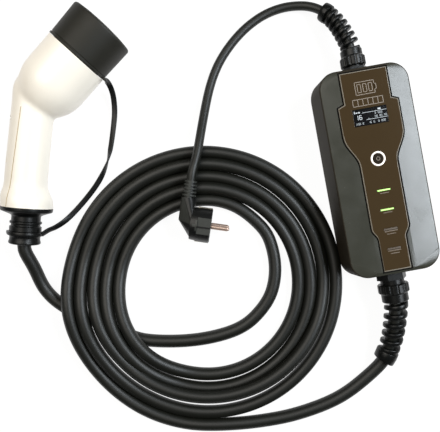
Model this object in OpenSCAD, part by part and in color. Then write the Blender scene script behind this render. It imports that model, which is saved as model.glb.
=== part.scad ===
// Portable charger for electric cars: a control box, a short mains lead with an angled plug, a coiled
// vehicle cable and a vehicle connector with its rubber cap, all lying on one flat surface.
// Millimetres, +Z up. The origin is the middle of the control box's back.

/* [Control box] */
// Width at the parting line
box_w = 92.5; // [86:0.5:105]
// Length at the parting line
box_l = 209.5; // [205:0.5:235]
// Height over the front panel
box_h = 50; // [48:0.5:60]
// Corner radius at the parting line
corner_r = 19.5; // [16:0.5:26]
// How far each side wall leans in towards the front
draft = 1.2; // [0.6:0.1:3]
// Wall thickness of both shells
wall = 3; // [2.6:0.1:4]
// Height of the rear cover
rear_h = 8; // [6.5:0.5:10]

/* [Front panel] */
// Thickness of the inset panel
panel_t = 1.6; // [1.2:0.1:2.4]
// Width of the groove round the panel
groove_w = 1.4; // [0.8:0.1:2]
// Width of the panel's upper end
panel_upper_w = 47; // [42:0.5:50]
// Width of the panel beside the display
panel_wide_w = 60; // [54:0.5:64]
// Width of the panel beside the lamps
panel_slim_w = 37; // [32:0.5:40]
// Width of the panel's lower end
panel_foot_w = 27; // [22:0.5:30]
// Width of the display
display_w = 34; // [30:0.5:38]
// Height of the display
display_h = 17; // [14:0.5:20]
// Middle of the display above the middle of the box
display_v = 54; // [50:0.5:56]
// Diameter of the white ring round the button
ring_d = 14.6; // [13.6:0.1:16]
// Diameter of the button
button_d = 10.4; // [9:0.1:11]
// Middle of the button above the middle of the box
button_v = 11.5; // [9:0.5:14]
// How far the button travels
button_travel = 0.8; // [0.4:0.1:1]
// Length of a lamp's light bar
lamp_w = 13.4; // [10:0.2:16]
// Height of a lamp's light bar
lamp_h = 2; // [1.6:0.1:3]
// Distance from one lamp to the next
lamp_pitch = 19.4; // [17:0.2:20]

/* [Vehicle cable and its gland] */
// Diameter of the vehicle cable
cable_d = 13.5; // [12:0.1:14]
// Radius of the gland's hexagon over its corners
vehicle_hex_r = 15.4; // [14.5:0.1:16.5]
// Radius of the ribbed gland nut
vehicle_nut_r = 15; // [14.6:0.1:16.5]
// Number of turns of the bend protector
vehicle_turns = 6; // [4:1:7]
// Length of the bend protector's spiral
vehicle_spiral_l = 50; // [42:1:54]

/* [Mains lead and plug] */
// Diameter of the mains lead
mains_d = 9.5; // [8:0.1:10]
// Radius of the gland's hexagon over its corners
mains_hex_r = 13.4; // [12.6:0.1:14.5]
// Radius of the ribbed gland nut
mains_nut_r = 12.2; // [11.8:0.1:13.5]
// Number of turns of the bend protector
mains_turns = 8; // [6:1:9]
// Length of the bend protector's spiral
mains_spiral_l = 45; // [40:1:48]
// Diameter of the plug's round face
plug_d = 36; // [34:0.5:38]
// Diameter of a plug pin
pin_d = 4.8; // [4:0.1:5]
// Length of a plug pin
pin_l = 19; // [17:0.5:21]
// Distance between the plug pins
pin_pitch = 19; // [17:0.5:20]

/* [Vehicle connector] */
// Radius of the round head
head_r = 33.6; // [32.6:0.1:35]
// Distance from the bend of the handle to the head's mouth
head_reach = 67; // [62:0.5:70]
// Angle between the handle and the head
head_bend = 37; // [32:0.2:42]
// Distance from the handle's foot to the bend
handle_l = 102.5; // [98:0.5:108]
// Radius of the handle
handle_r = 20.8; // [19.5:0.1:22.5]
// Radius of the handle's flared foot
foot_r = 26.1; // [24.5:0.1:27.5]
// Wall thickness of the connector's shells
shell_t = 3; // [2.4:0.1:3.6]
// Radius of the nose that enters the vehicle
nose_r = 28; // [26.5:0.1:29]
// How far the nose stands out of the head
nose_l = 33; // [30:0.5:36]
// Wall thickness of the rubber cap
cap_t = 3; // [2.4:0.1:3.2]
// Width of the tether strap
strap_w = 5.8; // [4.5:0.1:7]
// Thickness of the tether strap
strap_t = 2; // [1.5:0.1:2.6]

/* [Hidden] */
$fn = 64;

// Thin slice and overshoot of a cut
eps = 0.01;
over = 1;
// Clearances: a sliding fit, a screw in its hole, a piece in its pocket, two bodies that move apart
slip = 0.1;
screw_gap = 0.2;
pocket_gap = 0.15;
body_gap = 0.35;

// Levels of the control box, from the back
edge = 1.3;
rim_z = box_h - 2.1;
panel_proud = 0.5;
plateau_z = box_h - panel_proud;
plateau_w = 38;
recess_z = box_h - panel_t;
roof_t = 2.2;
roof_z = recess_z - roof_t;
rear_lean = 1.5;
boss_margin = 0.6;
gland_z = rear_h + vehicle_hex_r + boss_margin;
box_turn = 10.2;

// Seal in the rear cover's rim
seal_w = 1.2;
seal_h = 1.2;

// Case screws and their posts
screw_r = 1.5;
screw_head_r = 3;
screw_head_h = 2.4;
screw_reach = 10;
post_r = 4.5;
post_u = box_w / 2 - draft - wall - post_r + 2;
post_v = box_l / 2 - corner_r - 1;

// Panel outline, as places along the box
panel_end_v = box_l / 2 - draft - edge - 2.5;
panel_notch_v = display_v + display_h / 2 + 6.5;
panel_step = 2.5;
panel_soft_steps = 8;
panel_taper_v = display_v - display_h / 2 - 8.5;
panel_slim_v = button_v - 5.5;
lamp_v = button_v - 31.4;
panel_hip_v = lamp_v - 1.9 * lamp_pitch;
panel_foot_v = panel_hip_v - 11.5;
window_ledge = 1.5;
window_sink = 0.2;

// Board behind the panel
interface_t = 1.6;
interface_top = roof_z - 7.6;
interface_z = interface_top - interface_t;
interface_w = 46;
interface_low_v = lamp_v - 3 * lamp_pitch - 8;
interface_high_v = display_v + display_h / 2 + 8;
interface_post_r = 3.2;
interface_screw_r = 1;
interface_head_r = 2.2;
interface_head_h = 1.4;
interface_post_u = interface_w / 2 - 4;
interface_post_v = [interface_low_v + 4.5, panel_slim_v + 22];
switch_side = 10;
switch_h = 2.6;
flange_h = 0.9;
flange_top = roof_z - body_gap;
stem_low = flange_top - flange_h - 0.8;
flange_r = button_d / 2 + 1.7;

// Control board and what stands on it
board_w = 62;
board_l = 150;
board_t = 1.6;
board_z = wall + 8;
board_top = board_z + board_t;
standoff_r = 3.5;
standoff_u = board_w / 2 - 5;
standoff_v = board_l / 2 - 5;
board_screw_r = 1.25;
board_head_r = 2.6;
board_head_h = 1.8;

// Glands, as lengths along their axes from the box's end
boss_depth = draft + wall;
locknut_t = 5;
stub_l = boss_depth + locknut_t + 2;
cable_gap = 0.6;
nut_gap = 0.15;
seal_l = 4;
grip_ribs = 14;
grip_rib_h = 0.6;
grip_groove_r = 2.4;
vehicle_thread_r = vehicle_hex_r - 3;
vehicle_neck_r = vehicle_nut_r - 3;
vehicle_flange_t = 7;
vehicle_neck_l = 4.6;
vehicle_nut_l = 9.5;
vehicle_step_l = 9.5;
vehicle_nut_at = vehicle_flange_t + vehicle_neck_l;
vehicle_nut_end = vehicle_nut_at + vehicle_nut_l + vehicle_step_l;
mains_thread_r = mains_hex_r - 3;
mains_neck_r = mains_nut_r - 2.6;
mains_flange_t = 4;
mains_neck_l = 1.6;
mains_nut_l = 10;
mains_step_l = 8;
mains_nut_at = mains_flange_t + mains_neck_l;
mains_nut_end = mains_nut_at + mains_nut_l + mains_step_l;

// Spiral bend protectors
spiral_steps = 16;
spiral_bite = 0.6;
strip_share = 0.56;
strip_sink = 1;
collar_l = 8;
collar_gap = 0.6;

// Cords
cable_r = cable_d / 2;
mains_r = mains_d / 2;
cord_sides = 10;
curve_steps = 8;
cable_ring_step = 18;
mains_ring_step = 20;

// Coil, as turns side by side
coil_at = [-178, -123];
coil_turns = 5;
coil_first_r = 92.8;
coil_pitch = 12.35;

// Plug, in its own frame: pins along +X, cable neck along +Y
plug_r = plug_d / 2;
plug_at = [-167, -55.4, plug_r + 4.2];
plug_roll = 5;
plug_turn = -8;
plug_depth = 21;
plug_rear_r = plug_r - 1.2;
hub_r = 7.6;
hub_x = -plug_depth - 5.8;
hub_low_y = 2;
hub_top_y = 26;
neck_top_y = 43.5;
neck_r = 7;
neck_tip_r = 6;
neck_ribs = 5;
neck_rib_gap = 1.4;
neck_bore_l = 10;
pin_seat_l = 9;
pin_root_r = pin_d / 2 - 0.6;
pin_shoulder = 0.4;
groove_half = 8.5;
guide_depth = 2.6;
guide_l = 14;
guide_slot_w = 1.8;
guide_slot_y = -1.6;
clip_w = 6.5;
clip_l = 15;
clip_t = 0.8;

// Vehicle connector, in its own frame: handle along +Y from its foot, symmetric about the XY plane
mouth_t = head_reach;
dome_t = head_reach - 33.5;
dome_l = 38.5;
handle_top = handle_l + 15.5;
foot_flat = 6;
foot_flare = 18;
cap_gap = 0.4;
cap_lip_l = 2.4;
cap_flare = 0.7;
cap_depth = nose_l + cap_t + 4;
cap_end_r = head_r + cap_flare;
cap_lean = handle_l + (head_reach + cap_depth) * cos(head_bend);
head_lean = handle_l + dome_t * cos(head_bend);
connector_tilt = max(asin((head_r - foot_r) / head_lean), asin((cap_end_r - foot_r) / cap_lean));
connector_turn = -5;
connector_at = [-356.4, -36, foot_r + 0.3];
seam_x = -12.4;
seam_lean = 4.3;
seam_gap = 0.3;
boot_l = 38;
boot_r = 15.8;
tether_y = -27;
tether_h = 4;
tether_groove = 1.4;
lug_l = 3;
lug_at = 1.4;
clamp_y = 28;
clamp_l = 10;
carrier_back = 22;
flange_back = 6;
flat_x = 22.5;
handle_screw_r = 1.5;
handle_head_r = 2.8;
handle_head_h = 2.2;
handle_boss_r = 4.2;
handle_screw_z = 10;
handle_screw_y = [46, 88];
handle_screw_l = 16;
// Contact places on the nose, across and up its face
power_spots = [[-14.4, 0], [0, 0], [14.4, 0]];
spare_spots = [[-8, -13.6], [8, -13.6]];
signal_spots = [[-6.6, 12.2], [6.6, 12.2]];
power_contact_r = 4.2;
signal_contact_r = 2.6;
contact_wall = 1.1;

// Places: a point in the box's, the plug's, the connector's or the head's frame, as it lies
function turned_x(p, a) = [p.x, p.y * cos(a) - p.z * sin(a), p.y * sin(a) + p.z * cos(a)];
function turned_z(p, a) = [p.x * cos(a) - p.y * sin(a), p.x * sin(a) + p.y * cos(a), p.z];
function gland_point(side, reach) = turned_z([0, side * (box_l / 2 + reach), gland_z], box_turn);
function plug_point(p) = plug_at + turned_z(turned_x(p, plug_roll), plug_turn);
function connector_point(p) = connector_at + turned_z(turned_x(p, connector_tilt), connector_turn);
function head_point(x, t) = connector_point([0, handle_l, 0] + turned_z([x, t, 0], -head_bend));

// Smooth run through points, as tables of X, Y and Z over the length along it
function curve(p) = concat(
    [
        for (i = [0:len(p) - 2], k = [0:curve_steps - 1])
        let (
            a = p[max(i - 1, 0)],
            b = p[i],
            c = p[i + 1],
            d = p[min(i + 2, len(p) - 1)],
            t = k / curve_steps
        )
        0.5 * (2 * b + (c - a) * t + (2 * a - 5 * b + 4 * c - d) * t ^ 2 + (3 * b - a - 3 * c + d) * t ^ 3)
    ],
    [p[len(p) - 1]]
);
function step_length(c, i) = i + 1 < len(c) ? norm(c[i + 1] - c[i]) : 0;
function lengths(c) = [for (i = 0, s = 0; i < len(c); s = s + step_length(c, i), i = i + 1) s];
function tables(c, s) = [for (axis = [0:2]) [for (i = [0:len(c) - 1]) [s[i], c[i][axis]]]];
function run(p) = let (c = curve(p)) tables(c, lengths(c));
function run_length(r) = r[0][len(r[0]) - 1][0];
function spot(r, s) = [for (axis = [0:2]) lookup(s, r[axis])];
function unit(v) = v / norm(v);
function heading(r, s) = unit(spot(r, s + 1) - spot(r, s - 1));
function across(t) = unit(cross(t, [0, 0, 1]));
function round_ring(c, t, radius) = let (a = across(t), b = cross(t, a)) [
    for (j = [0:cord_sides - 1])
    c + radius * (cos(360 * j / cord_sides) * a + sin(360 * j / cord_sides) * b)
];

// Routes of the cords, from hand-chosen points between the pieces that hold them
tail_run = run(concat(
    [for (reach = [-stub_l, 0, vehicle_nut_at, vehicle_nut_end, vehicle_nut_end + 3]) gland_point(-1, reach)],
    [
        [24, -153, 22], [23, -170, 17.5], [20, -185, 13.5], [12, -201, 10], [-1, -218, 8],
        [-20, -234, 7], [-45, -246, 7], [-81, -258, 7], [-104, -262, 7], [-130, -266, 7]
    ]
));
lead_run = run(concat(
    [for (y = [clamp_y + clamp_l, 0, -boot_l, -boot_l - 8]) connector_point([0, y, 0])],
    [
        [-354, -98.5, 16], [-346.3, -114.5, 10], [-336.3, -127.5, 7.5], [-325, -137, 7], [-312, -147, 7],
        [-296, -154, 7], [-280, -162, 7], [-264, -169, 7], [-250, -174, 7], [-237, -178, 7],
        [-207, -179, 7], [-179, -177, 7], [-152, -171, 7], [-130, -162, 7], [-114, -146, 7],
        [-102, -128, 7], [-98, -103, 7], [-101, -82, 7], [-107, -64, 7], [-117, -53, 7],
        [-128, -43, 7], [-142, -34, 7]
    ]
));
mains_run = run(concat(
    [for (reach = [-stub_l, 0, mains_nut_at, mains_nut_end, mains_nut_end + 4]) gland_point(1, reach)],
    [
        [-25.5, 144, 23.4], [-32.5, 159, 20.5], [-45, 173, 15], [-57, 179.5, 10.5], [-72, 182, 6.8],
        [-91, 178.5, 5.2], [-113, 166, 5], [-135, 147, 5], [-157, 121, 5], [-169, 93, 5.6],
        [-176, 56, 13], [-179, 34, 19.5], [-182, 16, 23.5]
    ],
    [for (y = [neck_top_y + 10, neck_top_y, neck_top_y - neck_bore_l]) plug_point([hub_x, y, 0])]
));
strap_run = run(concat(
    [connector_point([boot_r + 1.6, tether_y, 0])],
    [
        [-332, -57.7, 22], [-322.5, -48.4, 12], [-310, -34.5, 5], [-297, -19.5, 3.6], [-286, -2.3, 3.6],
        [-279, 14.8, 3.6], [-273.5, 36, 3.6], [-271.3, 57.7, 5], [-270.5, 74, 10], [-270, 85, 20]
    ],
    [head_point(cap_end_r + lug_l + 5 * body_gap, mouth_t + cap_gap + lug_at)]
));
// Twist of the strap along its length, 0 lying flat and 90 on edge
strap_twist = [[0, 20], [0.2, 10], [0.4, 25], [0.5, 90], [0.58, 150], [0.75, 178], [1, 180]];

// Frames in which the sub-assemblies are drawn
module place_box() {
    rotate([0, 0, box_turn]) children();
}

module at_gland(side) {
    place_box() translate([0, side * box_l / 2, gland_z]) rotate([-90 * side, 0, 0]) children();
}

module place_plug() {
    translate(plug_at) rotate([plug_roll, 0, plug_turn]) children();
}

module place_connector() {
    translate(connector_at) rotate([connector_tilt, 0, connector_turn]) children();
}

// Turned about the handle, +Z of the children runs along +Y of the connector
module about_handle() {
    rotate([-90, 0, 0]) children();
}

// Turned about the head, +Z of the children runs out of its mouth
module about_head() {
    translate([0, handle_l, 0]) rotate([0, 0, -head_bend]) about_handle() children();
}

// A frame on a run: +Z of the children follows the run
module on_run(r, s) {
    t = heading(r, s);
    x = across(t);
    y = cross(t, x);
    c = spot(r, s);
    multmatrix([
        [x.x, y.x, t.x, c.x],
        [x.y, y.y, t.y, c.y],
        [x.z, y.z, t.z, c.z],
        [0, 0, 0, 1]
    ]) children();
}

// Skin over rings of points that all have the same count
module skin(rings) {
    n = len(rings[0]);
    last = (len(rings) - 1) * n;
    polyhedron(
        points = [for (r = rings) each r],
        faces = concat(
            [[for (j = [0:n - 1]) j]],
            [
                for (i = [0:len(rings) - 2], j = [0:n - 1])
                let (a = i * n + j, b = i * n + (j + 1) % n)
                each [[a, a + n, b], [b, a + n, b + n]]
            ],
            [[for (j = [n - 1:-1:0]) last + j]]
        )
    );
}

// Plain round cord along a run
module cord(r, radius, spacing) {
    s = run_length(r);
    count = ceil(s / spacing);
    skin([
        for (i = [0:count])
        round_ring(spot(r, s * i / count), heading(r, s * i / count), radius)
    ]);
}

// Helical strip of a bend protector round a run, from a reach beyond the box's end
module spiral(r, reach, length, turns, inner_r, outer_r, tip_r) {
    n = turns * spiral_steps;
    half = length / turns * strip_share / 2;
    from = stub_l + reach + half - spiral_bite;
    skin([
        for (i = [0:n])
        let (
            s = from + length * i / n,
            t = heading(r, s),
            a = across(t),
            b = cross(a, t),
            u = cos(360 * i / spiral_steps) * a + sin(360 * i / spiral_steps) * b,
            out = outer_r + (tip_r - outer_r) * i / n,
            c = spot(r, s)
        )
        [
            c + inner_r * u - half * t,
            c + (out - half / 2) * u - half * t,
            c + out * u - half / 2 * t,
            c + out * u + half / 2 * t,
            c + (out - half / 2) * u + half * t,
            c + inner_r * u + half * t
        ]
    ]);
}

// Thin discs at the four corners of the box
module corner_discs(inset, z) {
    for (x = [-1, 1], y = [-1, 1])
        translate([x * (box_w / 2 - corner_r), y * (box_l / 2 - corner_r), z])
            cylinder(r = corner_r - inset, h = eps, $fn = 48);
}

module at_posts() {
    for (x = [-1, 1], y = [-1:1]) translate([x * post_u, y * post_v, 0]) children();
}

module at_standoffs() {
    for (x = [-1, 1], y = [-1, 1]) translate([x * standoff_u, y * standoff_v, 0]) children();
}

module at_interface_posts() {
    for (x = [-1, 1], v = interface_post_v) translate([x * interface_post_u, v, 0]) children();
}

module at_lamps(first) {
    for (i = [first, first + 1]) translate([0, lamp_v - i * lamp_pitch, 0]) children();
}

// Upright block, centred on its place
module block(w, l, low, high) {
    translate([-w / 2, -l / 2, low]) cube([w, l, high - low]);
}

// Points of a soft S between two places on the panel's outline
function soft_step(a, b) = [
    for (f = [0:1 / panel_soft_steps:1])
    [a[0] + (b[0] - a[0]) * (1 - cos(180 * f)) / 2, a[1] + (b[1] - a[1]) * f]
];

module panel_outline() {
    half = concat(
        [
            [panel_upper_w, panel_end_v],
            [panel_upper_w, panel_notch_v],
            [panel_wide_w, panel_notch_v - panel_step]
        ],
        soft_step([panel_wide_w, panel_taper_v], [panel_slim_w, panel_slim_v]),
        soft_step([panel_slim_w, panel_hip_v], [panel_foot_w, panel_foot_v]),
        [[panel_foot_w, -panel_end_v]]
    );
    polygon(concat(
        [for (p = half) [p[0] / 2, p[1]]],
        [for (i = [len(half) - 1:-1:0]) [-half[i][0] / 2, half[i][1]]]
    ));
}

module lamp_slots() {
    for (first = [0, 2])
        at_lamps(first)
            block(lamp_w + 2 * pocket_gap, lamp_h + 2 * pocket_gap, roof_z - over, box_h + over);
}

module housing_skin() {
    hull() {
        corner_discs(0, rear_h);
        corner_discs(draft, rim_z - edge);
        corner_discs(draft + 0.3 * edge, rim_z - 0.3 * edge);
        corner_discs(draft + edge, rim_z - eps);
        block(plateau_w, 2 * panel_end_v, plateau_z - eps, plateau_z);
    }
}

module front_housing() {
    color("#3b3b37") place_box() difference() {
        union() {
            difference() {
                housing_skin();
                hull() {
                    corner_discs(wall, rear_h - eps);
                    corner_discs(wall + draft, roof_z - eps);
                }
            }
            at_posts() translate([0, 0, rear_h]) cylinder(r = post_r, h = roof_z + eps - rear_h);
            at_interface_posts()
                translate([0, 0, interface_top])
                    cylinder(r = interface_post_r, h = roof_z + eps - interface_top);
            housing_boss(1, mains_hex_r);
            housing_boss(-1, vehicle_hex_r);
        }
        translate([0, 0, recess_z]) linear_extrude(box_h) offset(delta = groove_w) panel_outline();
        translate([0, display_v, 0])
            block(display_w - 2 * window_ledge, display_h - 2 * window_ledge, roof_z - over, box_h);
        translate([0, button_v, 0]) cylinder(r = button_d / 2 + body_gap, h = box_h);
        lamp_slots();
        housing_hole(1, mains_thread_r);
        housing_hole(-1, vehicle_thread_r);
        at_posts() translate([0, 0, rear_h - over]) cylinder(r = screw_r + slip, h = screw_reach + 2 * over);
        at_interface_posts()
            translate([0, 0, interface_top - over]) cylinder(r = interface_screw_r + slip, h = 6);
    }
}

module housing_boss(side, radius) {
    translate([0, side * (box_l / 2 - boss_depth), gland_z])
        rotate([-90 * side, 0, 0]) cylinder(r = radius, h = boss_depth);
}

module housing_hole(side, radius) {
    translate([0, side * (box_l / 2 + over), gland_z])
        rotate([90 * side, 0, 0]) cylinder(r = radius + pocket_gap, h = boss_depth + 4 * over);
}

// Outline of the box at the parting line, moved in by an inset
function box_outline(inset) = [
    for (i = [0:3], a = [0:7.5:90])
    let (
        x = box_w / 2 - corner_r,
        y = box_l / 2 - corner_r,
        corner = [[x, y], [-x, y], [-x, -y], [x, -y]][i]
    )
    corner + (corner_r - inset) * [cos(90 * i + a), sin(90 * i + a)]
];

// Ring that follows the box's outline between two insets
module rim_ring(outer, inner, low, high) {
    translate([0, 0, low]) linear_extrude(high - low) difference() {
        polygon(box_outline(outer));
        polygon(box_outline(inner));
    }
}

module rear_cover() {
    seal_low = rear_h - seal_h;
    seal_edge = (wall - seal_w) / 2;
    color("#33332f") place_box() difference() {
        union() {
            difference() {
                hull() {
                    corner_discs(rear_lean, 0);
                    corner_discs(0, rear_h - eps);
                }
                hull() {
                    corner_discs(wall + rear_lean, wall);
                    corner_discs(wall, rear_h);
                }
            }
            at_posts() cylinder(r = post_r, h = rear_h);
            at_standoffs() translate([0, 0, wall / 2]) cylinder(r = standoff_r, h = board_z - wall / 2);
        }
        rim_ring(seal_edge - pocket_gap, seal_edge + seal_w + pocket_gap, seal_low, rear_h + over);
        at_posts() {
            translate([0, 0, -over]) cylinder(r = screw_r + screw_gap, h = rear_h + 2 * over);
            translate([0, 0, -over]) cylinder(r = screw_head_r + screw_gap, h = screw_head_h + 2 * over);
        }
        at_standoffs() translate([0, 0, wall]) cylinder(r = board_screw_r + slip, h = board_z);
    }
}

module case_seal() {
    seal_edge = (wall - seal_w) / 2;
    color("#1b1b1b") place_box() rim_ring(seal_edge, seal_edge + seal_w, rear_h - seal_h, rear_h);
}

module case_screws() {
    seat = screw_head_h + over;
    color("#b9bcc0") place_box() at_posts() difference() {
        union() {
            translate([0, 0, seat - screw_head_h]) cylinder(r = screw_head_r, h = screw_head_h);
            translate([0, 0, seat - eps]) cylinder(r = screw_r, h = rear_h + screw_reach - seat);
        }
        translate([0, 0, seat - screw_head_h - over]) cylinder(r = 1.4, h = over + 1.3, $fn = 6);
    }
}

module front_panel() {
    color("#45362a") place_box() difference() {
        translate([0, 0, recess_z]) linear_extrude(panel_t) panel_outline();
        translate([0, display_v, 0]) block(display_w, display_h, recess_z - over, box_h + over);
        translate([0, button_v, 0]) cylinder(r = ring_d / 2 + pocket_gap, h = box_h + over);
        lamp_slots();
    }
}

module display_window() {
    color("#15181a") place_box() translate([0, display_v, 0])
        block(display_w - 2 * pocket_gap, display_h - 2 * pocket_gap, recess_z, box_h - window_sink);
}

module display_module() {
    frame_w = display_w + 4;
    frame_h = display_h + 6;
    color("#0d0f12") place_box() translate([0, display_v, 0]) {
        block(frame_w, frame_h, interface_top, roof_z - 2);
        block(display_w, display_h, roof_z - 2 - eps, roof_z - body_gap);
    }
}

module button_ring() {
    color("#fff5ee") place_box() translate([0, button_v, recess_z]) difference() {
        cylinder(r = ring_d / 2, h = panel_t + slip);
        translate([0, 0, -over]) cylinder(r = button_d / 2 + body_gap, h = panel_t + 3 * over);
    }
}

module mode_button() {
    color("#2c2622") place_box() translate([0, button_v, 0]) {
        difference() {
            translate([0, 0, flange_top - eps]) cylinder(r = button_d / 2, h = box_h - flange_top + slip);
            translate([0, 0, box_h + button_d]) sphere(r = button_d + slip / 2);
        }
        translate([0, 0, flange_top - flange_h]) cylinder(r = flange_r, h = flange_h);
        translate([0, 0, stem_low]) cylinder(r = button_d / 4, h = flange_top - stem_low);
    }
}

module button_switch() {
    color("#1d1d1f") place_box() translate([0, button_v, 0]) {
        block(switch_side, switch_side, interface_top, interface_top + switch_h);
        translate([0, 0, interface_top])
            cylinder(r = button_d / 4, h = stem_low - button_travel - body_gap - interface_top);
    }
}

module light_bar() {
    block(lamp_w, lamp_h, interface_top, box_h - slip);
}

module charge_lamps() {
    color("#b8e986") place_box() at_lamps(0) light_bar();
}

module status_lamps() {
    color("#574a3d") place_box() at_lamps(2) light_bar();
}

module interface_board() {
    color("#1f5a37") place_box() difference() {
        translate([0, (interface_high_v + interface_low_v) / 2, 0])
            block(interface_w, interface_high_v - interface_low_v, interface_z, interface_top);
        at_interface_posts() translate([0, 0, interface_z - over])
            cylinder(r = interface_screw_r + screw_gap, h = interface_t + 2 * over);
    }
}

module interface_screws() {
    color("#b9bcc0") place_box() at_interface_posts() {
        translate([0, 0, interface_z - interface_head_h])
            cylinder(r = interface_head_r, h = interface_head_h);
        translate([0, 0, interface_z - eps]) cylinder(r = interface_screw_r, h = interface_t + 4.5);
    }
}

module control_board() {
    color("#1f5a37") place_box() difference() {
        block(board_w, board_l, board_z, board_top);
        at_standoffs() translate([0, 0, board_z - over]) cylinder(r = board_screw_r + screw_gap, h = 4);
    }
}

module board_screws() {
    color("#b9bcc0") place_box() at_standoffs() {
        translate([0, 0, board_top]) cylinder(r = board_head_r, h = board_head_h);
        translate([0, 0, board_top - board_t - 5]) cylinder(r = board_screw_r, h = board_t + 5 + eps);
    }
}

module power_relays() {
    color("#2b4c7e") place_box() for (u = [-1, 1])
        translate([u * 12.5, -6, 0]) block(20, 29, board_top, board_top + 18);
}

module leakage_sensor() {
    color("#22252b") place_box() translate([0, -41, board_top]) rotate_extrude()
        translate([6.5, 0]) square([7, 12]);
}

module supply_module() {
    color("#30343a") place_box() translate([13, 34, 0]) block(26, 38, board_top, board_top + 17);
}

module filter_capacitors() {
    color("#3a3f8f") place_box() for (v = [24, 40])
        translate([-16, v, board_top]) cylinder(r = 6.3, h = 16);
}

// Screw terminals in a row, each with a wire hole and a screw well
module terminal_row(count, v) {
    pitch = 10;
    place_box() translate([0, v, 0]) difference() {
        block(count * pitch, 11, board_top, board_top + 14);
        for (i = [0:count - 1]) translate([(i - (count - 1) / 2) * pitch, 0, 0]) {
            translate([0, 0, board_top + 9]) cylinder(r = 2.6, h = 6);
            translate([0, sign(v) * 6, board_top + 5]) rotate([90 * sign(v), 0, 0]) cylinder(r = 2.8, h = 8);
        }
    }
}

module input_terminals() {
    color("#2e7d4f") terminal_row(3, 61);
}

module output_terminals() {
    color("#2e7d4f") terminal_row(4, -63);
}

// Body of a gland: threaded stub through the wall, hexagon and neck under the nut
module gland_body(thread_r, hex_r, hex_t, gland_neck_r, reach, bore_r) {
    difference() {
        union() {
            translate([0, 0, -stub_l]) cylinder(r = thread_r, h = stub_l + eps);
            cylinder(r = hex_r, h = hex_t, $fn = 6);
            cylinder(r = gland_neck_r, h = reach);
        }
        translate([0, 0, -stub_l - over]) cylinder(r = bore_r, h = stub_l + reach + 2 * over);
    }
}

module gland_locknut(thread_r, hex_r) {
    translate([0, 0, -boss_depth - locknut_t]) difference() {
        cylinder(r = hex_r, h = locknut_t, $fn = 6);
        translate([0, 0, -over]) cylinder(r = thread_r + nut_gap, h = locknut_t + 2 * over);
    }
}

module gland_seal(at, outer_r, inner_r) {
    translate([0, 0, at]) difference() {
        cylinder(r = outer_r, h = seal_l);
        translate([0, 0, -over]) cylinder(r = inner_r, h = seal_l + 2 * over);
    }
}

// Ribbed nut with the shoulder that carries the spiral
module gland_nut(at, nut_r, nut_l, step_l, gland_neck_r, bore_r) {
    chamfer = 1;
    rib_r = nut_r + grip_rib_h;
    shoulder_r = gland_neck_r + 1.4;
    difference() {
        translate([0, 0, at]) rotate_extrude() polygon([
            [0, 0], [rib_r - chamfer, 0], [rib_r, chamfer], [rib_r, nut_l - chamfer],
            [rib_r - chamfer, nut_l], [shoulder_r, nut_l + chamfer],
            [shoulder_r, nut_l + step_l - chamfer], [shoulder_r - chamfer, nut_l + step_l],
            [0, nut_l + step_l]
        ]);
        for (i = [0:grip_ribs - 1]) rotate([0, 0, 360 * (i + 0.5) / grip_ribs])
            translate([nut_r + grip_groove_r, 0, at - over])
                cylinder(r = grip_groove_r, h = nut_l + 2 * over);
        translate([0, 0, at - over]) cylinder(r = gland_neck_r + nut_gap, h = nut_l + seal_l + over);
        translate([0, 0, at]) cylinder(r = bore_r, h = nut_l + step_l + over);
    }
}

// Collar that ends a bend protector's spiral, at a reach from the box's end
module bend_collar(r, reach, bore_r, outer_r) {
    on_run(r, stub_l + reach) difference() {
        rotate_extrude() polygon([
            [0, 0], [outer_r - 1, 0], [outer_r, 1], [outer_r - 0.6, collar_l - 1.5],
            [outer_r - 2, collar_l], [0, collar_l]
        ]);
        translate([0, 0, -over]) cylinder(r = bore_r, h = collar_l + 2 * over);
    }
}

module mains_gland_body() {
    color("#20211f") at_gland(1) gland_body(
        mains_thread_r, mains_hex_r, mains_flange_t, mains_neck_r,
        mains_nut_at + mains_nut_l - over, mains_r + cable_gap
    );
}

module mains_gland_nut() {
    color("#20211f") at_gland(1)
        gland_nut(mains_nut_at, mains_nut_r, mains_nut_l, mains_step_l, mains_neck_r, mains_r + cable_gap);
}

module mains_bend_spiral() {
    color("#20211f") spiral(
        mains_run, mains_nut_end, mains_spiral_l, mains_turns,
        mains_r + cable_gap + strip_sink, mains_neck_r + 0.9, mains_neck_r
    );
}

module mains_bend_collar() {
    color("#20211f")
        bend_collar(mains_run, mains_nut_end + mains_spiral_l, mains_r + cable_gap + collar_gap, mains_neck_r + 0.4);
}

module mains_gland_seal() {
    color("#101010") at_gland(1)
        gland_seal(mains_nut_at + mains_nut_l - over, mains_neck_r - nut_gap, mains_r + slip);
}

module mains_gland_locknut() {
    color("#20211f") at_gland(1) gland_locknut(mains_thread_r, mains_hex_r);
}

module vehicle_gland_body() {
    color("#20211f") at_gland(-1) gland_body(
        vehicle_thread_r, vehicle_hex_r, vehicle_flange_t, vehicle_neck_r,
        vehicle_nut_at + vehicle_nut_l - over, cable_r + cable_gap
    );
}

module vehicle_gland_nut() {
    color("#20211f") at_gland(-1) gland_nut(
        vehicle_nut_at, vehicle_nut_r, vehicle_nut_l, vehicle_step_l, vehicle_neck_r, cable_r + cable_gap
    );
}

module vehicle_bend_spiral() {
    color("#20211f") spiral(
        tail_run, vehicle_nut_end, vehicle_spiral_l, vehicle_turns,
        cable_r + cable_gap + strip_sink, vehicle_neck_r + 0.8, vehicle_neck_r - 0.8
    );
}

module vehicle_bend_collar() {
    color("#20211f")
        bend_collar(tail_run, vehicle_nut_end + vehicle_spiral_l, cable_r + cable_gap + collar_gap, vehicle_neck_r);
}

module vehicle_gland_seal() {
    color("#101010") at_gland(-1)
        gland_seal(vehicle_nut_at + vehicle_nut_l - over, vehicle_neck_r - nut_gap, cable_r + slip);
}

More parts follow.
